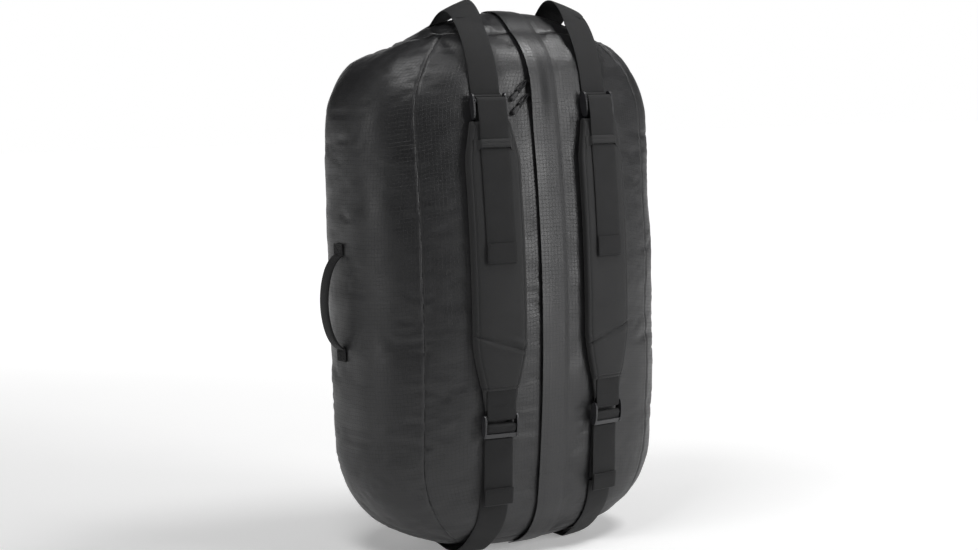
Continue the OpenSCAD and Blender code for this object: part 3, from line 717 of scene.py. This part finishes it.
def front_panel(name, side):
    """Half of the front. Above and below the zip's slit the two halves meet on its line."""
    if side < 0:
        grid = SHELL[LOW_ROW : TOP_ROW + 1, : COLUMN[1] + 3].copy()
        edge, kept = -1, -3
    else:
        grid = SHELL[LOW_ROW : TOP_ROW + 1, COLUMN[2] - 2 : COLUMN[3] + 1].copy()
        edge, kept = 0, 2
    open_rows = np.abs(HEIGHTS[LOW_ROW : TOP_ROW + 1]) < SLIT_END
    for j in (edge, edge + (1 if edge == 0 else -1)):
        grid[open_rows, j] = grid[open_rows, kept]
    rows, cols = grid.shape[:2]
    faces = []
    for quad in grid_faces(rows, cols):
        j = quad[0] % cols
        in_slit = j >= cols - 3 if side < 0 else j < 2
        if not (in_slit and open_rows[quad[0] // cols]):
            faces.append(quad)
    piece = make(name, grid.reshape(-1, 3), faces, cloth_uv(grid), sharp=75)
    used = sorted({v for f in faces for v in f})
    if len(used) < rows * cols:
        drop_loose(piece)
    thicken(piece, 2.2)
    return piece


def drop_loose(piece):
    """Removes the points that no face uses."""
    work = bmesh.new()
    work.from_mesh(piece.data)
    bmesh.ops.delete(work, geom=[v for v in work.verts if not v.link_faces], context="VERTS")
    work.to_mesh(piece.data)
    work.free()


def end_panel(name, rows, upper):
    """Rounded end inside the end seam, closed by one point at its pole."""
    grid = SHELL[rows, :-1]
    if not upper:
        grid = grid[::-1]
    count, cols = grid.shape[:2]
    points = np.concatenate([grid.reshape(-1, 3), grid[-1].mean(axis=0)[None]])
    faces = []
    for i in range(count - 1):
        for j in range(cols):
            a, b = i * cols + j, i * cols + (j + 1) % cols
            faces.append((a, b, b + cols, a + cols))
    faces += [((count - 1) * cols + j, (count - 1) * cols + (j + 1) % cols, count * cols) for j in range(cols)]
    if not upper:
        faces = [f[::-1] for f in faces]
    piece = make(name, points, faces, points[:, :2] * MM, sharp=75)
    thicken(piece, 2.2)
    return piece


def build_shell():
    wall = {
        "side_panel_right": (COLUMN[3], COLUMN[4]),
        "back_panel": (COLUMN[4], COLUMN[5]),
        "side_panel_left": (COLUMN[5], COLUMN[6]),
    }
    made = {node: wall_panel("cloth_" + node, *span) for node, span in wall.items()}
    for side, sign in SIDES.items():
        made["front_panel_" + side] = front_panel("cloth_front_panel_" + side, sign)
    made["top_end_panel"] = end_panel("cloth_top_end_panel", slice(TOP_ROW, None), True)
    made["base_end_panel"] = end_panel("cloth_base_end_panel", slice(0, LOW_ROW + 1), False)
    for node, piece in made.items():
        settle(piece, "shell_fabric", "shell", [node])


build_shell()

# ---- Ribbons of webbing ----

WEB_COLUMNS = np.array([-1, -0.955, -0.85, -0.5, 0, 0.5, 0.85, 0.955, 1])


def web_profile(columns):
    """Share of the full thickness across the webbing, with soft edges."""
    return 1 - 0.6 * np.abs(columns) ** 24 - 0.08 * (1 - columns**2)


def front_web(x0, path, thickness, width=WEB_W, spacing=2.2):
    """Inner and outer grids of webbing along a path of (height, offset) points on the front."""
    line = smooth_path(path, spacing)
    along = np.gradient(line, axis=0)
    along /= np.linalg.norm(along, axis=1, keepdims=True)
    half = thickness / 2 * web_profile(WEB_COLUMNS)[None]
    h, off = line[:, :1], line[:, 1:]
    nh, no = -along[:, 1:], along[:, :1]
    x = x0 + WEB_COLUMNS[None] * width / 2 + 0 * h
    # Free webbing is never quite straight
    x = x + 0.35 * noise(np.stack([0 * h, 0 * h, h], -1), 30, x0 > 0)
    return on_front(x, h - nh * half, off - no * half), on_front(x, h + nh * half, off + no * half)


def band_grids(x0, s, off):
    """Grids of the haul band at the places s of the loop, off millimetres out to its inner face."""
    s, off = np.asarray(s)[:, None], np.asarray(off)[:, None]
    x = x0 + WEB_COLUMNS[None] * WEB_W / 2 + 0 * s
    slack = WEB_T * (1 - web_profile(WEB_COLUMNS)[None]) / 2
    inner, outer = on_loop(x, s, off + slack), on_loop(x, s, off + WEB_T - slack)
    inner[..., 2] = np.maximum(inner[..., 2], WEB_T)
    outer[..., 2] = np.maximum(outer[..., 2], 0)
    return inner, outer


def lift(s, places, size):
    """Offset of a band that rises from the first place to the second and falls to the third."""
    first, peak, last = places
    return BAND_CLEAR + size * step(s, first, peak) * step(-s, -last, -peak)


def turn_round(bar, radius, first, last, count=9):
    """Path round a bar. The turn is 0 in front of it, 90 below it and 180 behind it."""
    f = np.radians(np.linspace(first, last, count))
    return [(bar[0] - radius * math.sin(a), bar[1] + radius * math.cos(a)) for a in f]


def stitches(name, rows, body, out=0.25, length=2.6, gap=1.5, radius=0.28):
    """Thread stitches, one small capsule each, along lines of points (start, end, outward)."""
    points, faces = [], []
    for start, end, outward in rows:
        start, end, outward = (np.asarray(v, float) for v in (start, end, outward))
        way = end - start
        span = np.linalg.norm(way)
        way /= span
        cross = np.cross(way, outward)
        count = max(1, int((span + gap) / (length + gap)))
        for k in range(count):
            base = start + way * k * (length + gap) + outward * out
            first = len(points)
            for share, size in ((0, 0.3), (0.12, 0.85), (0.5, 1.15), (0.88, 0.85), (1, 0.3)):
                for turn in range(6):
                    a = turn * math.pi / 3
                    spread = cross * math.cos(a) + outward * math.sin(a)
                    points.append(base + way * share * length + spread * radius * size)
            for ring in range(4):
                for j in range(6):
                    a, b = first + ring * 6 + j, first + ring * 6 + (j + 1) % 6
                    faces.append((a, b, b + 6, a + 6))
            faces.append(tuple(first + j for j in range(5, -1, -1)))
            faces.append(tuple(first + 24 + j for j in range(6)))
    piece = make(name, points, faces, np.zeros((len(points), 2)), sharp=80)
    return settle(piece, "cord", body)


def cross_stitch(x0, h, off, half):
    """One row of stitches across webbing on the front."""
    left, right = on_front(np.array([x0 - half, x0 + half]), h, off)
    return left, right, on_front(x0, h, off + 1) - on_front(x0, h, off)


def build_strap(side, sign):
    x0 = sign * STRAP_X
    strap = side + "_strap"
    tail_off = PAD_OFF + PAD_T + 1.5 + WEB_T / 2
    inset = WEB_W / 2 - 3
    # Haul band: curl round the pivot bar, up behind it, over the top end and down the back
    curl = turn_round(SWING_BAR, 1.9 + WEB_T / 2, -60, 180, 11)
    inner, outer = front_web(x0, curl + [(260, 1.9)], WEB_T)
    s1 = loop_s(STRAP_X, SWING_BAR[0] + 12)
    places = np.linspace(s1, 2.755, 90)
    upper = band_grids(x0, places, lift(places, LOOP_PLACES, HAUL_LIFT))
    band = slab("band_over_top_" + side, np.concatenate([inner, upper[0]]), np.concatenate([outer, upper[1]]))
    settle(band, "webbing", "shell", ["haul_band_top_" + side])
    down = np.concatenate([np.linspace(2.76, 3.999, 60), np.linspace(-3.999, -2.76, 60)])
    back = slab("band_down_back_" + side, *band_grids(x0, down, 0 * down + BAND_CLEAR))
    settle(back, "webbing", "shell", ["haul_band_back_" + side])
    s2 = -loop_s(STRAP_X, -RUN_BASE_H + 0.6)
    under = np.linspace(-2.755, s2, 90)
    base = slab("band_under_base_" + side, *band_grids(x0, under, lift(under, BASE_PLACES, BASE_LIFT)))
    settle(base, "webbing", "shell", ["haul_band_base_" + side])
    # Upper webbing: out of the pad, round the front bar and down through the keeper
    wrap = [(PAD_TOP + 0.5, 7.2), (236, 7.0)]
    wrap += turn_round(WRAP_BAR, 3.4 + WEB_T / 2, -180, 0)
    wrap += [(236, 16.2), (222, 16.6), (207, 15.2), (KEEPER_H, tail_off), (KEEPER_H - 6, tail_off)]
    piece = slab("webbing_at_buckle_" + side, *front_web(x0, wrap, WEB_T))
    settle(piece, "webbing", strap, ["upper_webbing_" + side])
    # Its free end, with the tip folded over and sewn
    tail = [(KEEPER_H - 7.6, tail_off), (150, tail_off), (100, tail_off), (TAIL_END_H + 2, tail_off + 0.3)]
    tail += turn_round((TAIL_END_H + 1.2, tail_off + WEB_T / 2 + 0.35), WEB_T / 2 + 0.1, 180, 0, 5)[1:]
    tail += [(TAIL_END_H + 10, tail_off + WEB_T + 0.5), (TAIL_END_H + 25, tail_off + WEB_T + 0.2)]
    inner, outer = front_web(x0, tail, WEB_T, spacing=1.6)
    piece = slab("webbing_tail_" + side, outer, inner)
    settle(piece, "webbing", side + "_upper_tail", ["upper_tail_" + side])
    top = tail_off + 1.5 * WEB_T
    rows = [cross_stitch(x0, h, top, inset) for h in (TAIL_END_H + 20, TAIL_END_H + 22.5)]
    stitches("tail_thread_" + side, rows, side + "_upper_tail")
    # Webbing sewn into the pad and looped round the top bar of the ladder lock
    tab = [(-126, 6.2), (-140, 5.4), (-152, 4.3)]
    tab += turn_round(TAB_BAR, 2.5 + WEB_T / 2, 180, 0)
    tab += [(-150, 10.3), (-138, 9.6), (-126, 9.2), (PAD_BASE - 0.5, 8.8)]
    inner, outer = front_web(x0, tab, WEB_T)
    piece = slab("webbing_tab_" + side, inner, outer)
    settle(piece, "webbing", strap, ["lower_tab_" + side])
    rows = [cross_stitch(x0, h, 9.9 + WEB_T / 2, inset - 6) for h in (-143, -146.5)]
    stitches("tab_thread_" + side, rows, strap)
    # Webbing over the middle bar of the ladder lock
    bend = [(-187.5, 4.8), (-180, 4.5)] + turn_round(LOCK_BAR, 3.1 + WEB_T / 2, 180, 352, 9)
    bend += [(-177, 11.4), (-180.5, 9.2)]
    piece = slab("webbing_in_lock_" + side, *front_web(x0, bend, WEB_T))
    settle(piece, "webbing", side + "_ladder_lock", ["lower_wrap_" + side])
    # Free end below the lock, with its hem
    tail = [(-189.2, 4.8), (-205, 5.6), (-225, 7.0), (-245, 8.6), (-262, 10.2), (LOWER_END_H + 2, 11.2)]
    tail += turn_round((LOWER_END_H + 1.2, 12.2), 1.0, 180, 0, 5)[1:]
    tail += [(LOWER_END_H + 9, 13.0), (LOWER_END_H + 22, 10.6 + WEB_T)]
    inner, outer = front_web(x0, tail, WEB_T, spacing=1.6)
    piece = slab("webbing_end_" + side, outer, inner)
    settle(piece, "webbing", side + "_lower_tail", ["lower_tail_" + side])
    rows = [cross_stitch(x0, h, 11.2 + 1.5 * WEB_T, inset) for h in (LOWER_END_H + 18, LOWER_END_H + 20.4)]
    stitches("end_thread_" + side, rows, side + "_lower_tail")
    # Run between the base band and the lock
    run = [(RUN_BASE_H, 1.6), (-240, 1.6), (-215, 1.7), (-196, 2.0), (-178, 2.2)]
    piece = slab("webbing_run_" + side, *front_web(x0, run, WEB_T))
    settle(piece, "webbing", None, ["lower_run_" + side])
    ends = [on_front(x0, h, 1.6) * MM for h in (RUN_BASE_H + 2, -184)]
    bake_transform(piece)
    build_keeper(side, x0, strap)
    build_pad(side, sign, x0, strap)


def build_keeper(side, x0, body):
    """Fabric loop across the webbing, sewn down at both ends."""
    across = np.linspace(-WEB_W / 2 - 8, WEB_W / 2 + 8, 45)
    heights = np.linspace(KEEPER_H + 5.2, KEEPER_H - 5.2, 9)
    top = PAD_OFF + PAD_T + 1.5 + WEB_T + 0.7
    rise = step(WEB_W / 2 + 3.8 - np.abs(across), 0, 3.4)
    off = PAD_OFF + PAD_T - 0.2 + (top - PAD_OFF - PAD_T) * rise
    swell = 0.9 * np.sin(np.linspace(0, math.pi, 9)) - 0.7 * bell(np.linspace(-1, 1, 9), 0.22)
    grid_off = off[:, None] + swell[None] * rise[:, None]
    x = x0 + across[:, None] + 0 * grid_off
    h = KEEPER_H + (heights[None] - KEEPER_H) * (1 + 0.45 * step(np.abs(across), 19, 28)[:, None])
    h = h - 3.2 * step(np.abs(across), 17, 28)[:, None]
    piece = slab("keeper_loop_" + side, on_front(x, h, grid_off), on_front(x, h, grid_off + 1.1), sharp=50)
    settle(piece, "pad_cover", body, ["keeper_" + side])


def pad_half(h):
    """Half width of the pad: narrow at the buckle, and a tongue behind the tab at its lower end."""
    upper = PAD_HALF - 10 * step(h, 165, PAD_TOP + 12)
    lower = 12 * np.clip((-60 - h) / (-60 - PAD_BASE), 0, 1) ** 1.4
    tongue = 3.5 * step(-h, -PAD_BASE + 2, -PAD_BASE + 26)
    return upper - lower - tongue


def pad_rings(sign, x0, part):
    """Rings of the pad's cover, or of the mesh behind it. Crowned, with stitched edges."""
    heights = np.concatenate([
        np.linspace(PAD_TOP, PAD_TOP - 6, 5), np.linspace(PAD_TOP - 8, PAD_BASE + 8, 190),
        np.linspace(PAD_BASE + 6, PAD_BASE - 3, 10), np.linspace(PAD_BASE - 7, PAD_BASE - 27, 8)])
    turns = np.linspace(-28, 208, 61) if part == "cover" else np.linspace(208, 332, 25)
    c, s = np.cos(np.radians(turns)), np.sin(np.radians(turns))
    power = 2 / 4.6
    across = np.sign(c) * np.abs(c) ** power
    out = np.sign(s) * np.abs(s) ** power
    h = heights[:, None]
    end = np.clip((PAD_TOP - h) / 5, 0, 1)
    thick = PAD_T * (0.35 + 0.65 * np.sqrt(1 - (1 - end) ** 2))
    tongue = step(-h, -PAD_BASE - 2, -PAD_BASE + 3)
    thick = thick * (1 - tongue) + 2.6 * tongue
    middle = (PAD_OFF + PAD_T / 2) * (1 - tongue) + 6.6 * tongue
    x = x0 + across[None] * pad_half(h)
    off = middle + out[None] * thick / 2
    outer_side = out[None] > 0.2
    side = (x - x0) * sign / PAD_HALF
    detail = np.zeros_like(off)
    # Stitch lines beside the edges, the slanting seam and slow quilting
    edge = pad_half(h) - np.abs(x - x0)
    detail -= 0.7 * bell(edge - 4.5, 1.2) * outer_side
    seam_h = -63 + 12 * side
    detail -= 2.3 * bell(h - seam_h, 1.8) * outer_side
    detail += 0.8 * bell(h - seam_h + 6, 4.0) * outer_side
    detail += 1.8 * bell(h - seam_h - 8, 3.4) * step(-side, -0.1, 0.9) * outer_side
    detail -= 1.9 * bell(h - PAD_BASE - 2.5, 1.5) * outer_side
    here = np.stack([x, np.zeros_like(x), h + 0 * x], -1)
    puckers = 0.5 * noise(here, (34, 1e9, 55), 40) + 0.3 * noise(here, (60, 1e9, 14), 41)
    detail += puckers * outer_side * (1 - tongue)
    under_web = step(WEB_W / 2 + 4 - np.abs(x - x0), 0, 4) * step(h, TAIL_END_H - 20, TAIL_END_H)
    detail = np.where(under_web > 0, np.minimum(detail, 0.15) * under_web + detail * (1 - under_web), detail)
    return on_front(x, h + 0 * x, np.maximum(off + detail, 0.8)), heights


def build_pad(side, sign, x0, body):
    for part, slot, nodes in (
        ("cover", "pad_cover", ["pad_cover_" + side, "pad_foam_" + side]),
        ("mesh", "air_mesh", ["pad_mesh_" + side]),
    ):
        rings, _ = pad_rings(sign, x0, part)
        rows, cols = rings.shape[:2]
        # Close the rings at both ends with a fan to their middle line
        faces = grid_faces(rows, cols, flip=True)
        centre = rings.mean(axis=1)
        if part == "cover":
            points = np.concatenate([rings.reshape(-1, 3), centre[:1], centre[-1:]])
            n = rows * cols
            faces += [(j, j + 1, n) for j in range(cols - 1)]
            faces += [((rows - 1) * cols + j + 1, (rows - 1) * cols + j, n + 1) for j in range(cols - 1)]
            uv = np.concatenate([cloth_uv(rings), [[0, 0], [0, 0]]])
        else:
            points, uv = rings.reshape(-1, 3), cloth_uv(rings)
        piece = make(f"pad_{part}_piece_{side}", points, faces, uv, sharp=60)
        thicken(piece, 1.0)
        settle(piece, slot, body, nodes)
    # Bound edge where the cover meets the mesh
    rings, heights = pad_rings(sign, x0, "cover")
    keep = heights > PAD_BASE - 25
    for k, edge in enumerate((0, -1)):
        path = rings[keep, edge]
        name = f"pad_binding_{'outer' if (k == 0) == (sign > 0) else 'inner'}_{side}"
        settle(tube(name, path[::2], 1.3, 8), "webbing", body)


for side_name, side_sign in SIDES.items():
    build_strap(side_name, side_sign)

# ---- Storm flap ----

FLAP_COLUMNS = np.concatenate([np.linspace(FLAP_FREE_X, FLAP_FREE_X + 2, 3), np.linspace(-14, 18, 9),
                               np.linspace(FLAP_SEWN_X - 3, FLAP_SEWN_X, 3)])
FLAP_T = 1.3


def flap_off(x, h):
    """Offset of the flap: sewn flat at one edge, humped over the zip, and clear of the sliders."""
    over = 1.2 * bell(x - ZIP_X, 16)
    free = 0.1 + 2.0 * (FLAP_SEWN_X - x) / (FLAP_SEWN_X - FLAP_FREE_X)
    lifted = 3.8 * bell(h - 266, 34) * step(-x, -14, 8)
    return free + over + lifted


def flap_thick(x):
    """Thickness of the flap, which thins away where it is sewn into the panel."""
    return FLAP_T * (1 - 0.85 * step(x, FLAP_SEWN_X - 9, FLAP_SEWN_X))


def flap_front(x, h):
    off = flap_off(x, h) + 0.35 * noise(np.stack([x, 0 * x, h], -1), (60, 1, 70), 50)
    # The free edge is turned under and stitched
    hem = 0.35 * bell(x - FLAP_FREE_X - 6.5, 1.0)
    return on_front(x, h, off), on_front(x, h, off + flap_thick(x) - hem)


def flap_over(sign, s_from, s_to):
    def grid_at(x, s):
        share = step(np.abs(s), abs(s_from), abs(s_to))
        off = flap_off(x, 324) * (1 - share) + 0.6 * share
        return on_loop(x, s, off), on_loop(x, s, off + flap_thick(x))

    return grid_at


def build_flap():
    last = END_SEAM - 14
    for name, sign, s_end in (("top", 1, 1.72), ("base", -1, 1.48)):
        # Half from the middle of the flap to where it is sewn down
        rows = sign * np.linspace(0, FLAP_ROOT_H + 5, 62)
        x = np.broadcast_to(FLAP_COLUMNS[None], (len(rows), len(FLAP_COLUMNS)))
        inner, outer = flap_front(x, rows[:, None] + 0 * x)
        piece = slab(f"flap_{name}_half", inner if sign > 0 else inner[::-1], outer if sign > 0 else outer[::-1])
        settle(piece, "shell_fabric", None, ["storm_flap"])
        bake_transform(piece)
        # The end that stays down, over the rounded end of the bag
        rows = sign * np.linspace(FLAP_ROOT_H + 5.2, last, 22)
        x = np.broadcast_to(FLAP_COLUMNS[None], (len(rows), len(FLAP_COLUMNS)))
        inner, outer = flap_front(x, rows[:, None] + 0 * x)
        s_from = loop_s(FLAP_SEWN_X, last)
        s = sign * np.linspace(s_from + 0.01, s_end, 22)
        x = np.broadcast_to(FLAP_COLUMNS[None], (len(s), len(FLAP_COLUMNS)))
        over = flap_over(sign, s_from, s_end)(x, s[:, None] + 0 * x)
        inner, outer = np.concatenate([inner, over[0]]), np.concatenate([outer, over[1]])
        inner[..., 2], outer[..., 2] = np.maximum(inner[..., 2], 0.8), np.maximum(outer[..., 2], 0.2)
        if sign < 0:
            inner, outer = inner[::-1], outer[::-1]
        settle(slab(f"flap_{name}_end", inner, outer), "shell_fabric", "shell", [f"storm_flap_{name}_end"])


build_flap()

# ---- Side handles ----


def handle_path(count=60):
    """Arch of the handle as (distance out, height) points from its lower foot to its upper one."""
    v = np.sin(np.linspace(-math.pi / 2, math.pi / 2, count))
    half = (HANDLE_TOP - HANDLE_BASE) / 2
    middle = (HANDLE_TOP + HANDLE_BASE) / 2
    out = (HANDLE_OUT - HANDLE_T) * np.clip(1 - v**2, 0, 1) ** 0.62
    arch = [(BAND_CLEAR + o, middle + half * p) for o, p in zip(out, v)]
    return [(BAND_CLEAR, HANDLE_BASE - 17), (BAND_CLEAR, HANDLE_BASE - 8)] + arch + [
        (BAND_CLEAR, HANDLE_TOP + 8), (BAND_CLEAR, HANDLE_TOP + 17)]


def build_handle(side, sign):
    line = smooth_path(handle_path(), 2.4)
    middle = (HANDLE_TOP + HANDLE_BASE) / 2
    along = np.gradient(line, axis=0)
    along /= np.linalg.norm(along, axis=1, keepdims=True)
    wall = side_x(HANDLE_Y, middle)
    out, h = line[:, :1], line[:, 1:]
    # Webbing folded lengthwise along the grip, flat at the feet
    grip = step(out, 6, 16)
    columns = WEB_COLUMNS[None]
    half_width = HANDLE_W / 2 * (1 - 0.1 * grip)
    fold = grip * 1.3 * (1 - columns**2)
    nx, nz = along[:, 1:], -along[:, :1]
    thick = 2.2 + 0.8 * grip
    y = HANDLE_Y + columns * half_width + 0 * h
    foot = np.where(h > middle, side_x(HANDLE_Y, np.maximum(h, HANDLE_TOP)),
                    side_x(HANDLE_Y, np.minimum(h, HANDLE_BASE)))
    x = wall + (foot - wall) * (1 - step(out, 2, 12)) + out
    inner = np.stack([sign * (x - nx * 0 + 0 * y), y, BASE_H + h + 0 * y], -1)
    outward = np.stack([sign * nx + 0 * y, 0 * y, nz + 0 * y], -1)
    profile = web_profile(columns)
    outer = inner + outward * (thick * profile + fold)[..., None]
    inner = inner + outward * (thick * (1 - profile) * 0.5)[..., None]
    if sign < 0:
        inner, outer = inner[:, ::-1], outer[:, ::-1]
    # Two halves, split at the middle of the grip
    cut = int(np.argmin(np.abs(line[:, 1] - middle)))
    for name, rows, way in (("lower", slice(0, cut + 1), -1), ("upper", slice(cut, None), 1)):
        piece = slab(f"handle_{name}_{side}", inner[rows], outer[rows])
        settle(piece, "webbing", None, ["side_handle_" + side, "handle_feet_" + side])
        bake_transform(piece)
    for name, edge in (("upper", HANDLE_TOP), ("lower", HANDLE_BASE)):
        way = 1 if name == "upper" else -1
        level = [edge + way * 4, edge + way * 14.5]
        x = [sign * (side_x(HANDLE_Y, v) + BAND_CLEAR + 2.3) for v in level]
        near, far = HANDLE_Y - 9, HANDLE_Y + 9
        corner = lambda y, k: (x[k], y, BASE_H + level[k])
        box = [corner(near, 0), corner(far, 0), corner(far, 1), corner(near, 1)]
        lines = list(zip(box, box[1:] + box[:1])) + [(box[0], box[2]), (box[1], box[3])]
        stitches(f"handle_thread_{name}_{side}", [(a, b, (sign, 0, 0)) for a, b in lines], "shell")


for side_name, side_sign in SIDES.items():
    build_handle(side_name, side_sign)

# ---- Zip sliders' pulls ----


def at_zip(h, points):
    """Points given as (x, out, up) from the slider at height h, in the frame's millimetres."""
    turn = math.asin(h / BOW_R)
    p = np.asarray(points, float)
    radius = BOW_R + p[:, 1]
    return np.stack([ZIP_X + p[:, 0],
                     BOW_Y - radius * math.cos(turn) + p[:, 2] * math.sin(turn),
                     BASE_H + radius * math.sin(turn) + p[:, 2] * math.cos(turn)], -1)


PULL_X, CORD_OFF = -15.4, 2.3


def build_pull(level, h):
    body = level + "_pull"
    # Doubled cord from the slider's eye to the edge of the flap
    strands = []
    for k in (-1, 1):
        run = [(1.6, CORD_OFF, 0.1 * k), (-2.5, CORD_OFF, 0.9 * k), (-8, CORD_OFF, 1.1 * k),
               (-14.4, CORD_OFF, 1.1 * k)]
        strands.append(at_zip(h, smooth_path(run, 1.0)))
    path = np.concatenate([strands[0][::-1], strands[1]])
    settle(tube(f"{level}_cord_from_eye", path, 0.85, 8), "cord", level + "_slider", [level + "_cord_bight"])
    # The pull hangs down to the left: loop, knot and moulded grip
    slope = math.sqrt(0.5)

    def hang(points):
        p = np.asarray(points, float)
        return at_zip(h, np.stack([PULL_X + slope * (p[:, 0] - p[:, 2]), CORD_OFF + p[:, 1],
                                   -slope * (p[:, 2] + p[:, 0])], -1))

    for k, name in ((-1, "a"), (1, "b")):
        strand = [(0.3 * k, 0, -1.0), (1.8 * k, 0.2, 4), (2.3 * k, 0.3, 10), (1.5 * k, 0.2, 17), (0.9 * k, 0, 22)]
        piece = tube(f"{level}_pull_strand_{name}", hang(smooth_path(strand, 0.9)), 0.95, 8)
        settle(piece, "cord", body, [level + "_pull_cord"] if k > 0 else [])
    knot = [(0, 0, 17.2), (2.1, 1.0, 18), (0.8, -1.0, 19.8), (-2.2, -0.5, 19),
            (-0.5, 1.1, 17.8), (2, 0.3, 20.2), (0, 0, 22)]
    settle(tube(f"{level}_pull_knot", hang(smooth_path(knot, 0.7)), 1.15, 8), "cord", body)
    grip = smooth_path([(0, 0, 20.4), (0, 0, 24), (0, 0, 30), (0, 0, 36)], 0.7)
    share = np.linspace(0, 1, len(grip))
    radius = 1.5 + 1.7 * step(share, 0, 0.35) - 1.3 * step(share, 0.86, 1.0)
    radius = radius - 0.25 * (np.sin(share * 40) > 0.4) * step(share, 0.25, 0.4) * (1 - step(share, 0.75, 0.9))
    settle(tube(f"{level}_pull_handle", hang(grip), radius, 14), "pull_rubber", body, [level + "_pull_grip"])


for level_name, level_h in (("lower", 256.0), ("upper", 274.0)):
    build_pull(level_name, level_h)

# ---- CAD pieces that stay: their own finishes and softened edges ----


def soften(node, width):
    made = frame["nodes"][node].modifiers.new("soft_edges", "BEVEL")
    made.width = width * MM
    made.segments = 2
    made.limit_method = "ANGLE"
    made.angle_limit = math.radians(35)


KEPT = {"zip_coil_left": "zip_coil", "zip_coil_right": "zip_coil", "zip_tape_left": "zip_tape",
        "zip_tape_right": "zip_tape", "zip_end_top": "zip_tape", "zip_end_base": "zip_tape",
        "lower_slider": "slider_metal", "upper_slider": "slider_metal"}
for side_name in SIDES:
    KEPT["upper_buckle_" + side_name] = "buckle"
    KEPT["ladder_lock_" + side_name] = "buckle"
for node_name, slot_name in KEPT.items():
    settle(frame["nodes"][node_name], slot_name)
    if slot_name in ("buckle", "slider_metal"):
        soften(node_name, 0.5 if slot_name == "buckle" else 0.2)

# ---- Floor, light and camera ----

AZIMUTH, ELEVATION, ROLL = -31.2, 5.5, 1.45
DISTANCE, LENS = 2.5, 66.3
CENTRE_X, CENTRE_Y = 492.5, 282.0
FRAME_W, FRAME_H = 978, 550


def floor_finish():
    """Pale floor that turns into the lit backdrop behind the bag."""
    p = Paint("floor_pale", (0.86, 0.86, 0.86), 0.8, Specular_IOR_Level=0.2)
    p.shade(p.span(p.noise((0.8, 0.8, 0.8), 3.0), 0.97, 1.03))
    a = math.radians(AZIMUTH)
    away = p.node("VectorMath", operation="DOT_PRODUCT")
    away.inputs[1].default_value = (-math.sin(a), math.cos(a), 0)
    p.link(p.node("TexCoord").outputs["Object"], away.inputs[0])
    p.set("Emission Color", (1, 1, 1, 1))
    p.link(p.span(away.outputs["Value"], 0.1, 1.0, -0.6, 2.6), p.shader.inputs["Emission Strength"])
    return p.material


def build_floor():
    reach = 30000
    corners = [(-reach, -reach, 0), (reach, -reach, 0), (reach, reach, 0), (-reach, reach, 0)]
    floor = make("floor", [(x, y, z - 0.2) for x, y, z in corners], [(0, 1, 2, 3)])
    floor.data.materials.append(floor_finish())
    floor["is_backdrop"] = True


def area_light(name, place, target, size, power, colour=(1, 1, 1)):
    light = bpy.data.lights.new(name, "AREA")
    light.shape = "RECTANGLE"
    light.size, light.size_y = size
    light.energy = power
    light.color = colour
    lamp = bpy.data.objects.new(name, light)
    lamp.location = place
    lamp.rotation_euler = (Vector(target) - Vector(place)).to_track_quat("-Z", "Y").to_euler()
    bpy.context.scene.collection.objects.link(lamp)


def build_light():
    world = bpy.data.worlds.new("studio")
    bpy.context.scene.world = world
    world.use_nodes = True
    # Dim studio with a lit white backdrop behind the bag
    tree = world.node_tree
    place = tree.nodes.new("ShaderNodeTexCoord")
    facing = tree.nodes.new("ShaderNodeVectorMath")
    facing.operation = "DOT_PRODUCT"
    a = math.radians(AZIMUTH)
    facing.inputs[1].default_value = (-math.sin(a), math.cos(a), 0.05)
    glow = tree.nodes.new("ShaderNodeMapRange")
    glow.interpolation_type = "SMOOTHSTEP"
    glow.inputs["From Min"].default_value, glow.inputs["From Max"].default_value = 0.9, 0.953
    glow.inputs["To Min"].default_value, glow.inputs["To Max"].default_value = 0.03, 1.0
    tree.links.new(place.outputs["Generated"], facing.inputs[0])
    tree.links.new(facing.outputs["Value"], glow.inputs["Value"])
    tree.links.new(glow.outputs["Result"], tree.nodes["Background"].inputs["Strength"])
    tree.nodes["Background"].inputs["Color"].default_value = (1, 1, 1, 1)
    middle = (0, 0, 0.4)
    area_light("key_right", (1.2, -2.05, 0.8), middle, (0.8, 1.9), 33)
    area_light("top_left", (-0.85, -0.5, 2.1), (0, 0, 0.6), (0.8, 0.5), 17)
    area_light("top_right", (0.95, -0.55, 2.2), (0, 0, 0.6), (0.7, 0.6), 22)
    area_light("side_left", (-2.4, 0.35, 0.75), middle, (0.6, 1.5), 8)




def build_camera():
    """Looks level with the middle of the bag from its left, with the photograph's slight roll."""
    data = bpy.data.cameras.new("camera")
    data.lens = LENS
    data.sensor_width = 36
    camera = bpy.data.objects.new("camera", data)
    bpy.context.scene.collection.objects.link(camera)
    a, e = math.radians(AZIMUTH), math.radians(ELEVATION)
    middle = Vector((0, 0, BASE_H * MM))
    back = Vector((math.sin(a) * math.cos(e), -math.cos(a) * math.cos(e), math.sin(e)))
    camera.location = middle + back * DISTANCE
    facing = (-back).to_track_quat("-Z", "Y").to_euler()
    camera.rotation_euler = facing
    camera.rotation_euler.rotate_axis("Z", math.radians(-ROLL))
    data.shift_x = (FRAME_W / 2 - CENTRE_X) / FRAME_W
    data.shift_y = (CENTRE_Y - FRAME_H / 2) / FRAME_W
    data.clip_start, data.clip_end = 0.05, 80
    bpy.context.scene.camera = camera


build_floor()
build_light()
build_camera()
bpy.context.scene.view_settings.view_transform = "Standard"


def corners(box):
    return [list(corner) for corner in box]


{"cad": corners(CAD_BOX), "visual": corners(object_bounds())}
